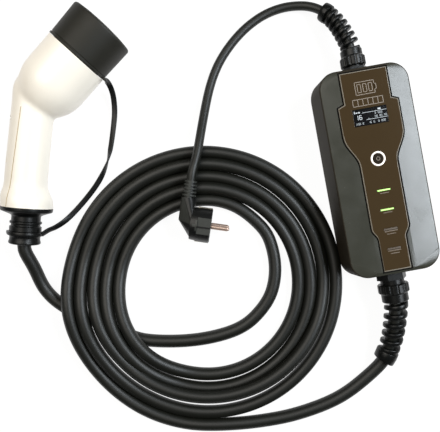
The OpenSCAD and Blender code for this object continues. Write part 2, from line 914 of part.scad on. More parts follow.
module vehicle_gland_locknut() {
    color("#20211f") at_gland(-1) gland_locknut(vehicle_thread_r, vehicle_hex_r);
}

module mains_cable() {
    color("#2e2f2c") cord(mains_run, mains_r, mains_ring_step);
}

// Angled plug: round front with guide grooves, hub behind it and a ribbed neck for the lead
module plug_body() {
    neck_l = neck_top_y - hub_top_y;
    pitch = neck_l / neck_ribs;
    color("#1c1d1c") place_plug() difference() {
        union() {
            rotate([0, -90, 0]) rotate_extrude() polygon([
                [0, 0], [plug_r - 1, 0], [plug_r, 1], [plug_r, plug_depth / 2],
                [plug_rear_r, plug_depth], [0, plug_depth]
            ]);
            hull() {
                translate([2 - plug_depth, 0, 0]) rotate([0, -90, 0])
                    cylinder(r = plug_rear_r - 0.8, h = 1, $fn = 32);
                translate([hub_x, hub_low_y, 0]) rotate([-90, 0, 0])
                    cylinder(r = hub_r, h = hub_top_y - hub_low_y, $fn = 32);
            }
            translate([hub_x, hub_top_y - over, 0]) rotate([-90, 0, 0])
                cylinder(r = neck_tip_r - 0.7, h = neck_l + over / 2);
            for (i = [0:neck_ribs - 1])
                translate([hub_x, hub_top_y + i * pitch + neck_rib_gap, 0]) rotate([-90, 0, 0])
                    cylinder(r = neck_r + (neck_tip_r - neck_r) * i / neck_ribs, h = pitch - neck_rib_gap);
        }
        for (z = [-1, 1]) {
            translate([-pin_seat_l, 0, z * pin_pitch / 2]) rotate([0, 90, 0])
                cylinder(r = pin_root_r + slip / 2, h = pin_seat_l + over);
            translate([-guide_l, -groove_half, z > 0 ? plug_r - guide_depth : -plug_r - over])
                cube([guide_l + over, 2 * groove_half, guide_depth + over]);
            translate([-guide_l, guide_slot_y - guide_slot_w / 2, z > 0 ? plug_r - guide_depth - over : -plug_r])
                cube([guide_l + over, guide_slot_w, guide_depth + over]);
            translate([-clip_l, z > 0 ? plug_r - clip_t - slip : -plug_r - over, -clip_w / 2 - slip])
                cube([clip_l + over, clip_t + slip + over, clip_w + 2 * slip]);
        }
        translate([hub_x, neck_top_y - neck_bore_l - over, 0]) rotate([-90, 0, 0])
            cylinder(r = mains_r + slip, h = neck_bore_l + 2 * over);
    }
}

module plug_pins() {
    tip = 2.2;
    color("#c9a27c") place_plug() for (z = [-1, 1])
        translate([-pin_seat_l, 0, z * pin_pitch / 2]) rotate([0, 90, 0]) {
            cylinder(r = pin_root_r, h = pin_seat_l + over);
            translate([0, 0, pin_seat_l + pin_shoulder]) cylinder(r = pin_d / 2, h = pin_l - tip - pin_shoulder);
            translate([0, 0, pin_seat_l + pin_l - tip])
                cylinder(r1 = pin_d / 2, r2 = pin_d / 2 - tip / 2, h = tip);
        }
}

module plug_earth_clips() {
    color("#b8b4a8") place_plug() for (y = [-1, 1])
        translate([-clip_l, y > 0 ? plug_r - clip_t : -plug_r, -clip_w / 2])
            cube([clip_l - 0.5, clip_t, clip_w]);
}

module vehicle_lead() {
    color("#2e2f2c") cord(lead_run, cable_r, cable_ring_step);
}

// The coil's turns side by side, as one closed solid of revolution
module cable_coil() {
    color("#2e2f2c") translate([coil_at.x, coil_at.y, cable_r]) rotate_extrude($fn = 96)
        for (i = [0:coil_turns - 1]) translate([coil_first_r + i * coil_pitch, 0]) circle(r = cable_r);
}

module vehicle_tail() {
    color("#2e2f2c") cord(tail_run, cable_r, cable_ring_step);
}

// Head of the connector, a barrel with a domed back, shrunk by an inset
module head_solid(inset, mouth) {
    about_head() rotate_extrude() polygon(concat(
        [for (a = [0:7.5:90]) [(head_r - inset) * sin(a), dome_t - (dome_l - inset) * cos(a)]],
        [[head_r - inset, mouth], [0, mouth]]
    ));
}

// Handle of the connector, flared at its foot and round at its top, shrunk by an inset
module handle_solid(inset, foot) {
    about_handle() rotate_extrude() polygon(concat(
        [[0, foot], [foot_r - inset, foot]],
        [
            for (f = [0:0.125:1])
            [foot_r - (foot_r - handle_r) * (1 - cos(180 * f)) / 2 - inset, foot_flat + f * foot_flare]
        ],
        [for (a = [0:9:90]) [(handle_r - inset) * cos(a), handle_top + (handle_r - inset) * sin(a)]]
    ));
}

// Half space in front of the seam that runs down the handle, or behind it
module seam_side(front) {
    reach = 4 * head_r;
    translate([seam_x, 0, 0]) rotate([0, 0, -seam_lean])
        translate([front > 0 ? seam_gap / 2 : -reach - seam_gap / 2, -reach, -reach])
            cube([reach, 4 * reach, 2 * reach]);
}

module at_handle_screws() {
    for (y = handle_screw_y, z = [-1, 1]) translate([0, y, z * handle_screw_z]) rotate([0, 90, 0]) children();
}

// Distance of a handle screw's seat from the handle's middle
function handle_seat() = sqrt(handle_r ^ 2 - handle_screw_z ^ 2) - handle_head_h - over;

module connector_shell() {
    color("#f6f3e6") place_connector() difference() {
        union() {
            difference() {
                union() {
                    head_solid(0, mouth_t);
                    intersection() {
                        handle_solid(0, 0);
                        seam_side(1);
                    }
                }
                head_solid(shell_t, mouth_t + over);
                handle_solid(shell_t, -over);
            }
            intersection() {
                at_handle_screws() cylinder(r = handle_boss_r, h = handle_r - shell_t / 2 - 2);
                handle_solid(shell_t / 2, 0);
                seam_side(1);
            }
        }
        at_handle_screws() translate([0, 0, -handle_r]) cylinder(r = handle_screw_r + slip, h = handle_r + 8);
    }
}

module handle_back() {
    color("#f6f3e6") place_connector() difference() {
        union() {
            difference() {
                intersection() {
                    handle_solid(0, 0);
                    seam_side(-1);
                }
                handle_solid(shell_t, -over);
            }
            intersection() {
                at_handle_screws() translate([0, 0, -handle_r]) cylinder(r = handle_boss_r, h = handle_r);
                handle_solid(shell_t / 2, 0);
                seam_side(-1);
            }
        }
        head_solid(-seam_gap, mouth_t);
        at_handle_screws() {
            translate([0, 0, -2 * handle_r])
                cylinder(r = handle_head_r + screw_gap, h = 2 * handle_r - handle_seat());
            translate([0, 0, -2 * handle_r]) cylinder(r = handle_screw_r + screw_gap, h = 2 * handle_r);
        }
    }
}

module handle_screws() {
    color("#b9bcc0") place_connector() at_handle_screws() translate([0, 0, -handle_seat()]) difference() {
        union() {
            translate([0, 0, -handle_head_h]) cylinder(r = handle_head_r, h = handle_head_h);
            translate([0, 0, -eps]) cylinder(r = handle_screw_r, h = handle_screw_l);
        }
        translate([0, 0, -handle_head_h - over]) cylinder(r = 1.3, h = over + 1.2, $fn = 6);
    }
}

module at_contacts(spots) {
    for (p = spots) translate([p[1], p[0], 0]) children();
}

// D-shaped nose with its contact holes, and the flange that seats in the head's mouth
module contact_carrier() {
    tip = mouth_t + nose_l;
    color("#1a1b1c") place_connector() about_head() difference() {
        union() {
            translate([0, 0, mouth_t - flange_back])
                cylinder(r = head_r - shell_t - pocket_gap, h = flange_back);
            translate([0, 0, mouth_t - carrier_back]) cylinder(r = nose_r - 5, h = carrier_back);
            difference() {
                translate([0, 0, mouth_t - over]) cylinder(r = nose_r, h = nose_l + over);
                translate([flat_x, -nose_r, mouth_t]) cube([nose_r, 2 * nose_r, nose_l + over]);
            }
        }
        translate([0, 0, mouth_t - carrier_back - over]) {
            at_contacts(concat(power_spots, spare_spots))
                cylinder(r = power_contact_r + slip / 2, h = carrier_back + nose_l + 2 * over);
            at_contacts(signal_spots)
                cylinder(r = signal_contact_r + slip / 2, h = carrier_back + nose_l + 2 * over);
        }
    }
}

module contact_sleeves(spots, radius) {
    low = mouth_t - carrier_back;
    high = mouth_t + nose_l - 4;
    place_connector() about_head() at_contacts(spots) difference() {
        translate([0, 0, low]) cylinder(r = radius, h = high - low);
        translate([0, 0, mouth_t]) cylinder(r = radius - contact_wall, h = nose_l);
    }
}

module power_contacts() {
    color("#c8b27a") contact_sleeves(power_spots, power_contact_r);
}

module signal_contacts() {
    color("#c8b27a") contact_sleeves(signal_spots, signal_contact_r);
}

module cable_clamp() {
    color("#3a3b3c") place_connector() about_handle() translate([0, 0, clamp_y]) difference() {
        cylinder(r = handle_r - shell_t - pocket_gap, h = clamp_l);
        translate([0, 0, -over]) cylinder(r = cable_r + slip, h = clamp_l + 2 * over);
    }
}

// Ribbed boot: spigot in the handle's foot, sloping collar, ribs, the tether's groove and a flared end
module cable_boot() {
    rim = foot_r - 0.3;
    spigot = foot_r - shell_t - pocket_gap;
    waist = boot_r - tether_groove;
    groove_low = tether_y - tether_h / 2 - pocket_gap;
    groove_high = tether_y + tether_h / 2 + pocket_gap;
    color("#191a1a") place_connector() about_handle() difference() {
        rotate_extrude() polygon([
            [0, foot_flat - 0.5], [spigot, foot_flat - 0.5], [spigot, 0],
            [rim, 0], [rim + 0.2, -0.6], [rim, -3.4], [rim - 0.8, -4.4], [boot_r + 1.6, -7.2],
            [waist + 0.6, -8.4], [waist, -9.6], [waist, -14.2],
            [boot_r, -14.7], [boot_r, -16.7], [waist, -17.2], [waist, -19.4], [boot_r, -19.9],
            [boot_r, groove_high], [waist, groove_high], [waist, groove_low], [boot_r, groove_low],
            [boot_r - 0.8, -boot_l + 7], [boot_r - 0.6, -boot_l + 4], [boot_r, -boot_l + 2.5],
            [boot_r, -boot_l + 1], [boot_r - 1, -boot_l], [0, -boot_l]
        ]);
        translate([0, 0, -boot_l - over])
            cylinder(r = cable_r + cable_gap, h = boot_l + foot_flat + 2 * over);
    }
}

// Tether: ring round the boot, with its nub, and the strap that leads to the cap
module cap_tether() {
    s = run_length(strap_run);
    count = 26;
    color("#1f201f") {
        place_connector() about_handle() translate([0, 0, tether_y - tether_h / 2]) difference() {
            union() {
                cylinder(r = boot_r + 2, h = tether_h);
                translate([-boot_r - 3, 0, tether_h / 2]) rotate([0, 90, 0])
                    cylinder(r = tether_h / 2 - 0.4, h = 3);
            }
            translate([0, 0, -over]) cylinder(r = boot_r - tether_groove + slip, h = tether_h + 2 * over);
        }
        skin([
            for (i = [0:count])
            let (
                at = s * i / count,
                t = heading(strap_run, at),
                a = across(t),
                b = cross(t, a),
                q = lookup(i / count, strap_twist),
                w = strap_w / 2 * (cos(q) * a + sin(q) * b),
                h = strap_t / 2 * (cos(q) * b - sin(q) * a),
                c = spot(strap_run, at)
            )
            [c - w - h, c + w - h, c + w + h, c - w + h]
        ]);
    }
}

// Rubber cap over the nose: flared cup with a lip, grip beads inside and a lug for the strap
module protective_cap() {
    bead_r = nose_r + body_gap;
    end = cap_depth;
    color("#2b2b26") place_connector() about_head() translate([0, 0, mouth_t + cap_gap]) difference() {
        union() {
            rotate_extrude() polygon([
                [0, 0], [head_r + 0.1, 0], [head_r + 0.4, 0.4], [head_r + 0.4, cap_lip_l - 0.4],
                [head_r + 0.1, cap_lip_l], [head_r - 0.6, cap_lip_l + 0.2], [head_r - 0.6, cap_lip_l + 0.9],
                [head_r - 0.2, cap_lip_l + 1.3], [cap_end_r, end - 2.5], [cap_end_r - 0.2, end - 1.5],
                [cap_end_r - 0.8, end - 0.6], [cap_end_r - 1.8, end], [cap_end_r * 0.75, end + 1],
                [cap_end_r / 2, end + 1.7], [cap_end_r / 4, end + 2.1], [0, end + 2.2]
            ]);
            translate([cap_end_r - 3, -strap_w / 2, lug_at - 1.2]) cube([lug_l + 3, strap_w, 2.4]);
        }
        translate([0, 0, -over]) rotate_extrude() polygon([
            [0, 0], [bead_r, 0], [bead_r, 5], [head_r - cap_t, 7], [head_r - cap_t, end - cap_t - 9],
            [bead_r, end - cap_t - 7], [bead_r, end - cap_t - over],
            [bead_r - 2, end - cap_t + over], [0, end - cap_t + over]
        ]);
    }
}

front_housing();
rear_cover();
case_seal();
case_screws();
front_panel();
display_window();
display_module();
button_ring();
mode_button();
button_switch();
charge_lamps();
status_lamps();
interface_board();
interface_screws();
control_board();
board_screws();
power_relays();
leakage_sensor();
supply_module();
filter_capacitors();
input_terminals();
output_terminals();
mains_gland_body();
mains_gland_nut();
mains_bend_spiral();
mains_bend_collar();
mains_gland_seal();
mains_gland_locknut();
vehicle_gland_body();
vehicle_gland_nut();
vehicle_bend_spiral();
vehicle_bend_collar();
vehicle_gland_seal();
vehicle_gland_locknut();
mains_cable();
plug_body();
plug_pins();
plug_earth_clips();
vehicle_lead();
cable_coil();
vehicle_tail();
connector_shell();
handle_back();
handle_screws();
contact_carrier();
power_contacts();
signal_contacts();
cable_clamp();
cable_boot();
cap_tether();
protective_cap();
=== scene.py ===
"""Dresses the portable charger for electric cars: finishes, cords, soft forms, light and camera.

Lengths are in millimetres until a piece is written, when its mesh goes to metres in the frame of the solids.
"""

import logging
import math
from dataclasses import dataclass
from enum import Enum
from typing import Any, Callable, Iterable, Sequence

import bmesh
import bpy
from mathutils import Matrix, Vector


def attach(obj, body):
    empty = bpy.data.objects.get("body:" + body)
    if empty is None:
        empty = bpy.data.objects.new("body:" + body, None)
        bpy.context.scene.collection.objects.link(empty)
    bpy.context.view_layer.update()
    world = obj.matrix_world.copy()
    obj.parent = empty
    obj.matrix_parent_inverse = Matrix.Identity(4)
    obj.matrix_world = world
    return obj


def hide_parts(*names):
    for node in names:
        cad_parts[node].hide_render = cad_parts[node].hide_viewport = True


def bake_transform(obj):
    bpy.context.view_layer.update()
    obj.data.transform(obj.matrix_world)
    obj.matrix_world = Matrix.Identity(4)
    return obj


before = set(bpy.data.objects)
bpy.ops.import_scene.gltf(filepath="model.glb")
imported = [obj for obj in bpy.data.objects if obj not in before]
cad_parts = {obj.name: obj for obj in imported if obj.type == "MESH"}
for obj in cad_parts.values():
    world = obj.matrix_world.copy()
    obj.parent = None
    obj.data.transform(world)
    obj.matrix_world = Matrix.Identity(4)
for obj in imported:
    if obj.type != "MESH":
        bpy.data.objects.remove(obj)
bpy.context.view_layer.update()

MM = 0.001
# Points closer than this are one, in millimetres: on a turned shape, and on a solid's loose triangles
MERGE, WELD = 1e-4, 0.002
# Joined triangles are one face when they bend by less than the first, and an edge is rounded past the second
FLAT_TO, ROUND_FROM = 0.1, 28.0
RIM_STEPS = 4
SKIN_SMOOTH_TO = 30.0
# Upward part of a face's normal: upright faces have less than the first, level ones more than the second
UPRIGHT, LEVEL = 0.3, 0.9
# Length of a cord's straight steps in millimetres, and the steps across a quarter of its round
CORD_STEP, CORD_ROUND = 4.0, 6
# Colour sockets of a Mix node, which share their names with its other sockets
MIX_A, MIX_B, MIX_RESULT = 6, 7, 2
LOG = logging.getLogger("charger")


class Body(str, Enum):
    """The bodies that pieces ride on."""

    UNIT = "unit"
    CAP = "cap"
    BUTTON = "button"


class Slot(str, Enum):
    """The record's material slots that new pieces take."""

    HOUSING = "housing"
    PANEL = "panel"
    WINDOW = "window"
    LIGHT_RING = "light_ring"
    BUTTON = "button"
    LAMP_LIT = "lamp_lit"
    LAMP_DARK = "lamp_dark"
    GLAND = "gland"
    CABLE = "cable"
    PLUG = "plug"
    PIN = "pin_metal"
    SHELL = "white_shell"
    CAP = "cap"
    BOOT = "boot"


def turn(degrees: float, axis: str) -> Matrix:
    """Returns a rotation about one axis."""
    return Matrix.Rotation(math.radians(degrees), 4, axis)


def shift(x: float, y: float, z: float) -> Matrix:
    """Returns a translation."""
    return Matrix.Translation((x, y, z))


def linear(code: str) -> tuple[float, float, float, float]:
    """Turns an sRGB hex colour into linear values.

    Args:
        code: Six hex digits after a hash.

    Returns:
        Linear red, green, blue and an alpha of one.
    """
    parts = [int(code[i:i + 2], 16) / 255 for i in (1, 3, 5)]
    red, green, blue = (c / 12.92 if c <= 0.04045 else ((c + 0.055) / 1.055) ** 2.4 for c in parts)
    return red, green, blue, 1.0


def set_inputs(node: bpy.types.Node, values: dict[str | int, Any]) -> None:
    """Sets input sockets of a node, by name or number."""
    for key, value in values.items():
        node.inputs[key].default_value = value


def add_node(
    tree: bpy.types.NodeTree,
    kind: str,
    settings: dict[str, Any] | None = None,
    values: dict[str | int, Any] | None = None,
    links: dict[str, bpy.types.NodeSocket] | None = None,
) -> bpy.types.Node:
    """Adds a node with its settings, socket values and links.

    Args:
        tree: The material's node tree.
        kind: Blender's name for the node type.
        settings: Properties of the node.
        values: Values of its input sockets.
        links: Sources of its input sockets.

    Returns:
        The new node.
    """
    node = tree.nodes.new(kind)
    for key, value in (settings or {}).items():
        setattr(node, key, value)
    set_inputs(node, values or {})
    for key, source in (links or {}).items():
        tree.links.new(source, node.inputs[key])
    return node


@dataclass(frozen=True)
class Finish:
    """One surface: a real material, the way it was made and what that gives the eye."""

    name: str
    colour: str
    roughness: float
    ior: float = 1.5
    metallic: float = 0.0
    coat: float = 0.0
    coat_roughness: float = 0.1
    mottle: float = 0.08
    mottle_mm: float = 14.0
    # Real mould grain is too fine to show in the render, so it is drawn as coarse as it needs to show
    grain_mm: float = 0.8
    grain_depth_mm: float = 0.03
    roughness_spread: float = 0.08
    glow: str = ""
    glow_strength: float = 0.0

    def material(self) -> bpy.types.Material:
        """Makes the node material, once.

        Returns:
            The material.
        """
        found = bpy.data.materials.get(self.name)
        if found:
            return found
        made = bpy.data.materials.new(self.name)
        made.use_nodes = True
        tree = made.node_tree
        shader = tree.nodes["Principled BSDF"]
        place = add_node(tree, "ShaderNodeTexCoord").outputs["Object"]
        cloud = add_node(
            tree, "ShaderNodeTexNoise",
            values={"Scale": 1 / (self.mottle_mm * MM), "Detail": 4.0, "Roughness": 0.6},
            links={"Vector": place},
        )
        base = Vector(linear(self.colour)[:3])
        blend = add_node(
            tree, "ShaderNodeMix",
            settings={"data_type": "RGBA"},
            values={MIX_A: (*(base * (1 - self.mottle)), 1), MIX_B: (*(base * (1 + self.mottle)), 1)},
            links={"Factor": cloud.outputs["Fac"]},
        )
        tree.links.new(blend.outputs[MIX_RESULT], shader.inputs["Base Color"])
        grain = add_node(
            tree, "ShaderNodeTexNoise",
            values={"Scale": 1 / (self.grain_mm * MM), "Detail": 2.0},
            links={"Vector": place},
        )
        gloss = add_node(
            tree, "ShaderNodeMapRange",
            values={
                "To Min": self.roughness - self.roughness_spread / 2,
                "To Max": self.roughness + self.roughness_spread / 2,
            },
            links={"Value": cloud.outputs["Fac"]},
        )
        tree.links.new(gloss.outputs["Result"], shader.inputs["Roughness"])
        bump = add_node(
            tree, "ShaderNodeBump",
            values={"Strength": 0.6, "Distance": self.grain_depth_mm * MM},
            links={"Height": grain.outputs["Fac"]},
        )
        tree.links.new(bump.outputs["Normal"], shader.inputs["Normal"])
        set_inputs(shader, {
            "Metallic": self.metallic, "IOR": self.ior,
            "Coat Weight": self.coat, "Coat Roughness": self.coat_roughness,
        })
        if self.glow:
            set_inputs(shader, {"Emission Color": linear(self.glow), "Emission Strength": self.glow_strength})
        return made


# Sparked ABS: a fine mould texture that breaks a highlight into a soft satin
HOUSING_ABS = Finish(
    "Sparked ABS, charcoal", "#35352d", 0.25, 1.55, mottle=0.12, mottle_mm=24, grain_mm=1.1,
    grain_depth_mm=0.012, roughness_spread=0.2,
)
# The recess that frames the panel: the same moulding, with painted shade, near black, where light hardly
# reaches
GROOVE_PAINTED_SHADE = Finish("Painted shade in the recess, black", "#080807", 0.8, 1.2, mottle=0.05)
# The drafted sides: a coarser spark that keeps them dull, with a painted warm reflection in their colour
SIDE_ABS_PAINTED_REFLECTION = Finish(
    "Coarse-sparked ABS, black with painted warm reflection", "#29241b", 0.66, 1.25, mottle=0.2, mottle_mm=12, grain_mm=1.4,
    grain_depth_mm=0.05,
)
# Polycarbonate film, printed on its back: even colour under a clear gloss
PANEL_FILM = Finish(
    "Gloss polycarbonate film, brown", "#3c2f1d", 0.07, 1.5, mottle=0.05, grain_mm=3.0, grain_depth_mm=0.002,
    roughness_spread=0.02,
)
# The film's rounded outline: a painted highlight, paler than its face
PANEL_EDGE_PAINTED_HIGHLIGHT = Finish("Painted highlight on the panel's edge", "#7d7568", 0.4, 1.5, mottle=0.1, grain_depth_mm=0.0)
# Tinted acrylic: near black and mirror smooth
WINDOW_ACRYLIC = Finish("Tinted acrylic window", "#08090a", 0.12, 1.49, mottle=0.02, grain_depth_mm=0.0)
# Light pipe of opal polycarbonate: white and even
RING_OPAL = Finish(
    "Opal polycarbonate ring", "#f2e9e0", 0.45, 1.4, mottle=0.01, glow="#fff3ea", glow_strength=0.3
)
# Dished button: the panel's brown, matt, so that the dish hardly shines
BUTTON_ABS = Finish("Matt ABS button, brown", "#231c14", 0.75, 1.2, mottle=0.04)
# Screen-print ink: a flat beige, slightly raised
PRINT_INK = Finish("Screen-print ink, beige", "#85786a", 0.5, mottle=0.1, mottle_mm=3, grain_depth_mm=0.0)
# Display pixels: cold white, even and without gloss
FIGURES_LIT = Finish("Lit display figures", "#9aa0a4", 0.5, mottle=0.0, glow="#e6edf2", glow_strength=0.4)
# Clear light bar over a green diode: nearly white in the middle, deep green at its edge
LAMP_LIT = Finish(
    "Clear light bar, lit green", "#b8e986", 0.4, 1.4, mottle=0.02, glow="#c4ee84", glow_strength=0.6
)
LAMP_EDGE = Finish(
    "Clear light bar, green edge", "#33500f", 0.4, 1.4, mottle=0.02, glow="#5fa31e", glow_strength=0.12
)
# The same bar without light: a dull brown slip
LAMP_DARK = Finish("Clear light bar, unlit", "#4f4336", 0.3, 1.49, mottle=0.03)
# Glass-filled nylon: black, slightly dry
GLAND_NYLON = Finish("Moulded nylon, black", "#080908", 0.34, 1.36, grain_mm=0.9, grain_depth_mm=0.04)
# Thermoplastic rubber jacket: near black with a waxy satin, extruded, so slightly uneven
CABLE_RUBBER = Finish(
    "Extruded rubber jacket, charcoal", "#0d0e08", 0.47, 1.48, mottle=0.16, mottle_mm=30, grain_mm=1.6,
    grain_depth_mm=0.06, roughness_spread=0.14,
)
# Moulded PVC: deep black with a soft, slightly greasy shine
PLUG_PVC = Finish("Moulded PVC, black", "#0c0d0c", 0.36, 1.4, grain_mm=1.2, grain_depth_mm=0.05)
# The same moulding drawn paler grey: on the plug's faces that look up, and on the neck's ribs
PLUG_PALE_GREY = Finish(
    "Moulded PVC, pale grey", "#2b2d29", 0.5, mottle=0.18, mottle_mm=4, grain_mm=0.9, grain_depth_mm=0.05
)
# Tarnished plating: a dull copper sheen
PIN_NICKEL = Finish(
    "Tarnished pin plating", "#cdb3a4", 0.34, metallic=0.8, mottle=0.1, mottle_mm=5, grain_depth_mm=0.004
)
# Tinned spring steel: bright, a little yellow
CLIP_STEEL = Finish("Tinned spring steel", "#b8b4a8", 0.3, metallic=1.0, mottle=0.05, grain_depth_mm=0.01)
# Polycarbonate blend, polished mould: warm white with a soft gloss
SHELL_WHITE = Finish(
    "Polished PC-ABS, warm white", "#faf2e4", 0.3, 1.55, coat=0.1, mottle=0.012, mottle_mm=40, grain_mm=1.5,
    grain_depth_mm=0.01,
)
# Painted shade in the parting line: a faint buff thread
SEAM_PAINTED_SHADE = Finish("Painted shade in the parting line, buff", "#cbb999", 0.7, 1.4, mottle=0.1, mottle_mm=6)
# Moulded rubber: soft black, dusty where it has been handled
CAP_RUBBER = Finish(
    "Moulded rubber, black", "#17150b", 0.58, 1.45, mottle=0.34, mottle_mm=14, grain_mm=0.9,
    grain_depth_mm=0.06, roughness_spread=0.14,
)
# Moulded boot: a blacker, smoother rubber that shines on its ribs
BOOT_RUBBER = Finish("Smooth moulded rubber, black", "#090a09", 0.36, 1.36, mottle=0.1, grain_mm=0.9)
# Flame-proof nylon: a flat, dry black
CARRIER_NYLON = Finish("Flame-proof nylon, black", "#1a1b1c", 0.45, 1.53)
# Silver plating over copper: bright, with a yellow tarnish
CONTACT_SILVER = Finish("Silver-plated copper", "#cdbb8a", 0.25, metallic=1.0, mottle=0.06)
# Solder resist over glass-fibre board: deep green under a clear gloss
BOARD_GREEN = Finish("Solder resist, green", "#1f5a37", 0.35, coat=0.3)
# Potted parts: plain dark epoxy, half matt
PART_CASE = Finish("Epoxy case, dark", "#2a2d33", 0.5)
# Polyamide terminal blocks: a flat mid green
TERMINAL_GREEN = Finish("Polyamide terminal, green", "#2e7d4f", 0.45, 1.53)
# Zinc-plated steel: pale, slightly blue and bright
SCREW_ZINC = Finish("Zinc-plated steel", "#b9bcc0", 0.32, metallic=1.0, mottle=0.06)
# Seal rubber: black and dull
SEAL_RUBBER = Finish("Seal rubber, black", "#141414", 0.6)

NODE_FINISH: dict[Finish, Sequence[str]] = {
    HOUSING_ABS: ("front_housing", "rear_cover"),
    PANEL_FILM: ("front_panel",),
    WINDOW_ACRYLIC: ("display_window",),
    RING_OPAL: ("button_ring",),
    BUTTON_ABS: ("mode_button",),
    LAMP_LIT: ("charge_lamps",),
    LAMP_DARK: ("status_lamps",),
    GLAND_NYLON: (
        "mains_gland_body", "mains_gland_nut", "mains_bend_spiral", "mains_bend_collar",
        "mains_gland_locknut", "vehicle_gland_body", "vehicle_gland_nut", "vehicle_bend_spiral",
        "vehicle_bend_collar", "vehicle_gland_locknut",
    ),
    CABLE_RUBBER: ("mains_cable", "vehicle_lead", "cable_coil", "vehicle_tail"),
    PLUG_PVC: ("plug_body",),
    PIN_NICKEL: ("plug_pins",),
    CLIP_STEEL: ("plug_earth_clips",),
    SHELL_WHITE: ("connector_shell", "handle_back"),
    CAP_RUBBER: ("protective_cap",),
    BOOT_RUBBER: ("cable_boot", "cap_tether"),
    CARRIER_NYLON: ("contact_carrier", "cable_clamp"),
    CONTACT_SILVER: ("power_contacts", "signal_contacts"),
    BOARD_GREEN: ("control_board", "interface_board"),
    PART_CASE: (
        "display_module", "button_switch", "power_relays", "leakage_sensor", "supply_module",
        "filter_capacitors",
    ),
    TERMINAL_GREEN: ("input_terminals", "output_terminals"),
    SCREW_ZINC: ("case_screws", "interface_screws", "board_screws", "handle_screws"),
    SEAL_RUBBER: ("case_seal", "mains_gland_seal", "vehicle_gland_seal"),
}


def dress_solids() -> None:
    """Gives every solid of the frame its finish."""
    for finish, names in NODE_FINISH.items():
        for name in names:
            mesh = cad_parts[name].data
            mesh.materials.clear()
            mesh.materials.append(finish.material())


def put(name: str, data: bpy.types.ID) -> bpy.types.Object:
    """Puts new data in the scene.

    Args:
        name: The object's name.
        data: Its mesh, curve, light or camera.

    Returns:
        The object, at the origin.
    """
    made = bpy.data.objects.new(name, data)
    bpy.context.scene.collection.objects.link(made)
    return made


def to_mesh(bm: bmesh.types.BMesh, name: str) -> bpy.types.Mesh:
    """Turns a shape into a mesh.

    Args:
        bm: The shape. It is freed.
        name: The mesh's name.

    Returns:
        The mesh.
    """
    mesh = bpy.data.meshes.new(name)
    bm.to_mesh(mesh)
    bm.free()
    return mesh


def write_piece(
    name: str,
    bm: bmesh.types.BMesh,
    finish: Finish,
    body: Body | None,
    stands_for: Iterable[str] = (),
    smooth_to: float = 35.0,
) -> bpy.types.Object:
    """Writes a finished shape as an object at the origin.

    Args:
        name: The piece's name.
        bm: Its shape, in millimetres, in the frame of the solids. It is freed.
        finish: Its surface.
        body: The body it rides on, or none for a piece that runs between two and rides on neither.
        stands_for: The solids that it replaces.
        smooth_to: Edges bent by less than this many degrees are shaded smooth.

    Returns:
        The object.
    """
    bmesh.ops.transform(bm, matrix=Matrix.Scale(MM, 4), verts=bm.verts)
    mesh = to_mesh(bm, name)
    mesh.shade_smooth()
    mesh.set_sharp_from_angle(angle=math.radians(smooth_to))
    mesh.materials.append(finish.material())
    return settle(put(name, mesh), body, stands_for)


def settle(
    piece: bpy.types.Object, body: Body | None, stands_for: Iterable[str] = ()
) -> bpy.types.Object:
    """Makes a piece ride on a body and reports it.

    Args:
        piece: The object, in place.
        body: The body it rides on, or none for a piece that runs between two and rides on neither.
        stands_for: The solids that it replaces.

    Returns:
        The same object.
    """
    if body:
        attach(piece, body.value)
    if stands_for:
        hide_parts(*stands_for)
    LOG.info("%s rides on %s", piece.name, body.value if body else "two bodies")
    return piece


def soften(
    node: str,
    width: float,
    finish: Finish,
    body: Body = Body.UNIT,
    segments: int = 3,
    patches: Sequence[tuple[Finish, Callable[[Vector, Vector], bool]]] = (),
    rims: Sequence[tuple[Finish, float, Callable[[bmesh.types.BMEdge], bool]]] = (),
) -> bpy.types.Object:
    """Copies a solid, joins its triangles into whole faces and rounds its sharp edges.

    Args:
        node: The solid that the piece stands for.
        width: How far the rounding reaches from an edge.
        finish: Its surface.
        body: The body it rides on.
        segments: Number of steps across the rounding.
        patches: Other finishes, each with a test of a face's middle and normal.
        rims: Finishes and widths of roundings, each with a test of the edges that get it.

    Returns:
        The object.
    """
    bm = bmesh.new()
    bm.from_mesh(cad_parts[node].data)
    bmesh.ops.transform(bm, matrix=Matrix.Scale(1 / MM, 4), verts=bm.verts)
    bmesh.ops.remove_doubles(bm, verts=bm.verts, dist=WELD)
    bmesh.ops.dissolve_limit(bm, angle_limit=math.radians(FLAT_TO), verts=bm.verts, edges=bm.edges)
    for face in bm.faces:
        face.material_index = 0
        for i, (_, belongs) in enumerate(patches, 1):
            if belongs(face.calc_center_median(), face.normal):
                face.material_index = i
    for i, (_, _, belongs) in enumerate(rims):
        weight = bm.edges.layers.float.new(f"rim_{i}")
        for edge in bm.edges:
            edge[weight] = float(belongs(edge))
    piece = write_piece(f"{node}_skin", bm, finish, body, (node,), SKIN_SMOOTH_TO)
    finishes = list(dict.fromkeys((finish, *(patch[0] for patch in patches), *(rim[0] for rim in rims))))
    for other in finishes[1:]:
        piece.data.materials.append(other.material())
    for i, (other, reach, _) in enumerate(rims):
        lip = piece.modifiers.new(f"rim {i}", "BEVEL")
        lip.width = reach * MM
        lip.segments = RIM_STEPS
        lip.limit_method = "WEIGHT"
        lip.edge_weight = f"rim_{i}"
        lip.material = finishes.index(other)
    rounding = piece.modifiers.new("rounded edges", "BEVEL")
    rounding.width = width * MM
    rounding.segments = segments
    rounding.limit_method = "ANGLE"
    rounding.angle_limit = math.radians(ROUND_FROM)
    flatness = piece.modifiers.new("flat faces", "WEIGHTED_NORMAL")
    flatness.mode = "FACE_AREA"
    flatness.weight = 100
    flatness.keep_sharp = True
    return piece


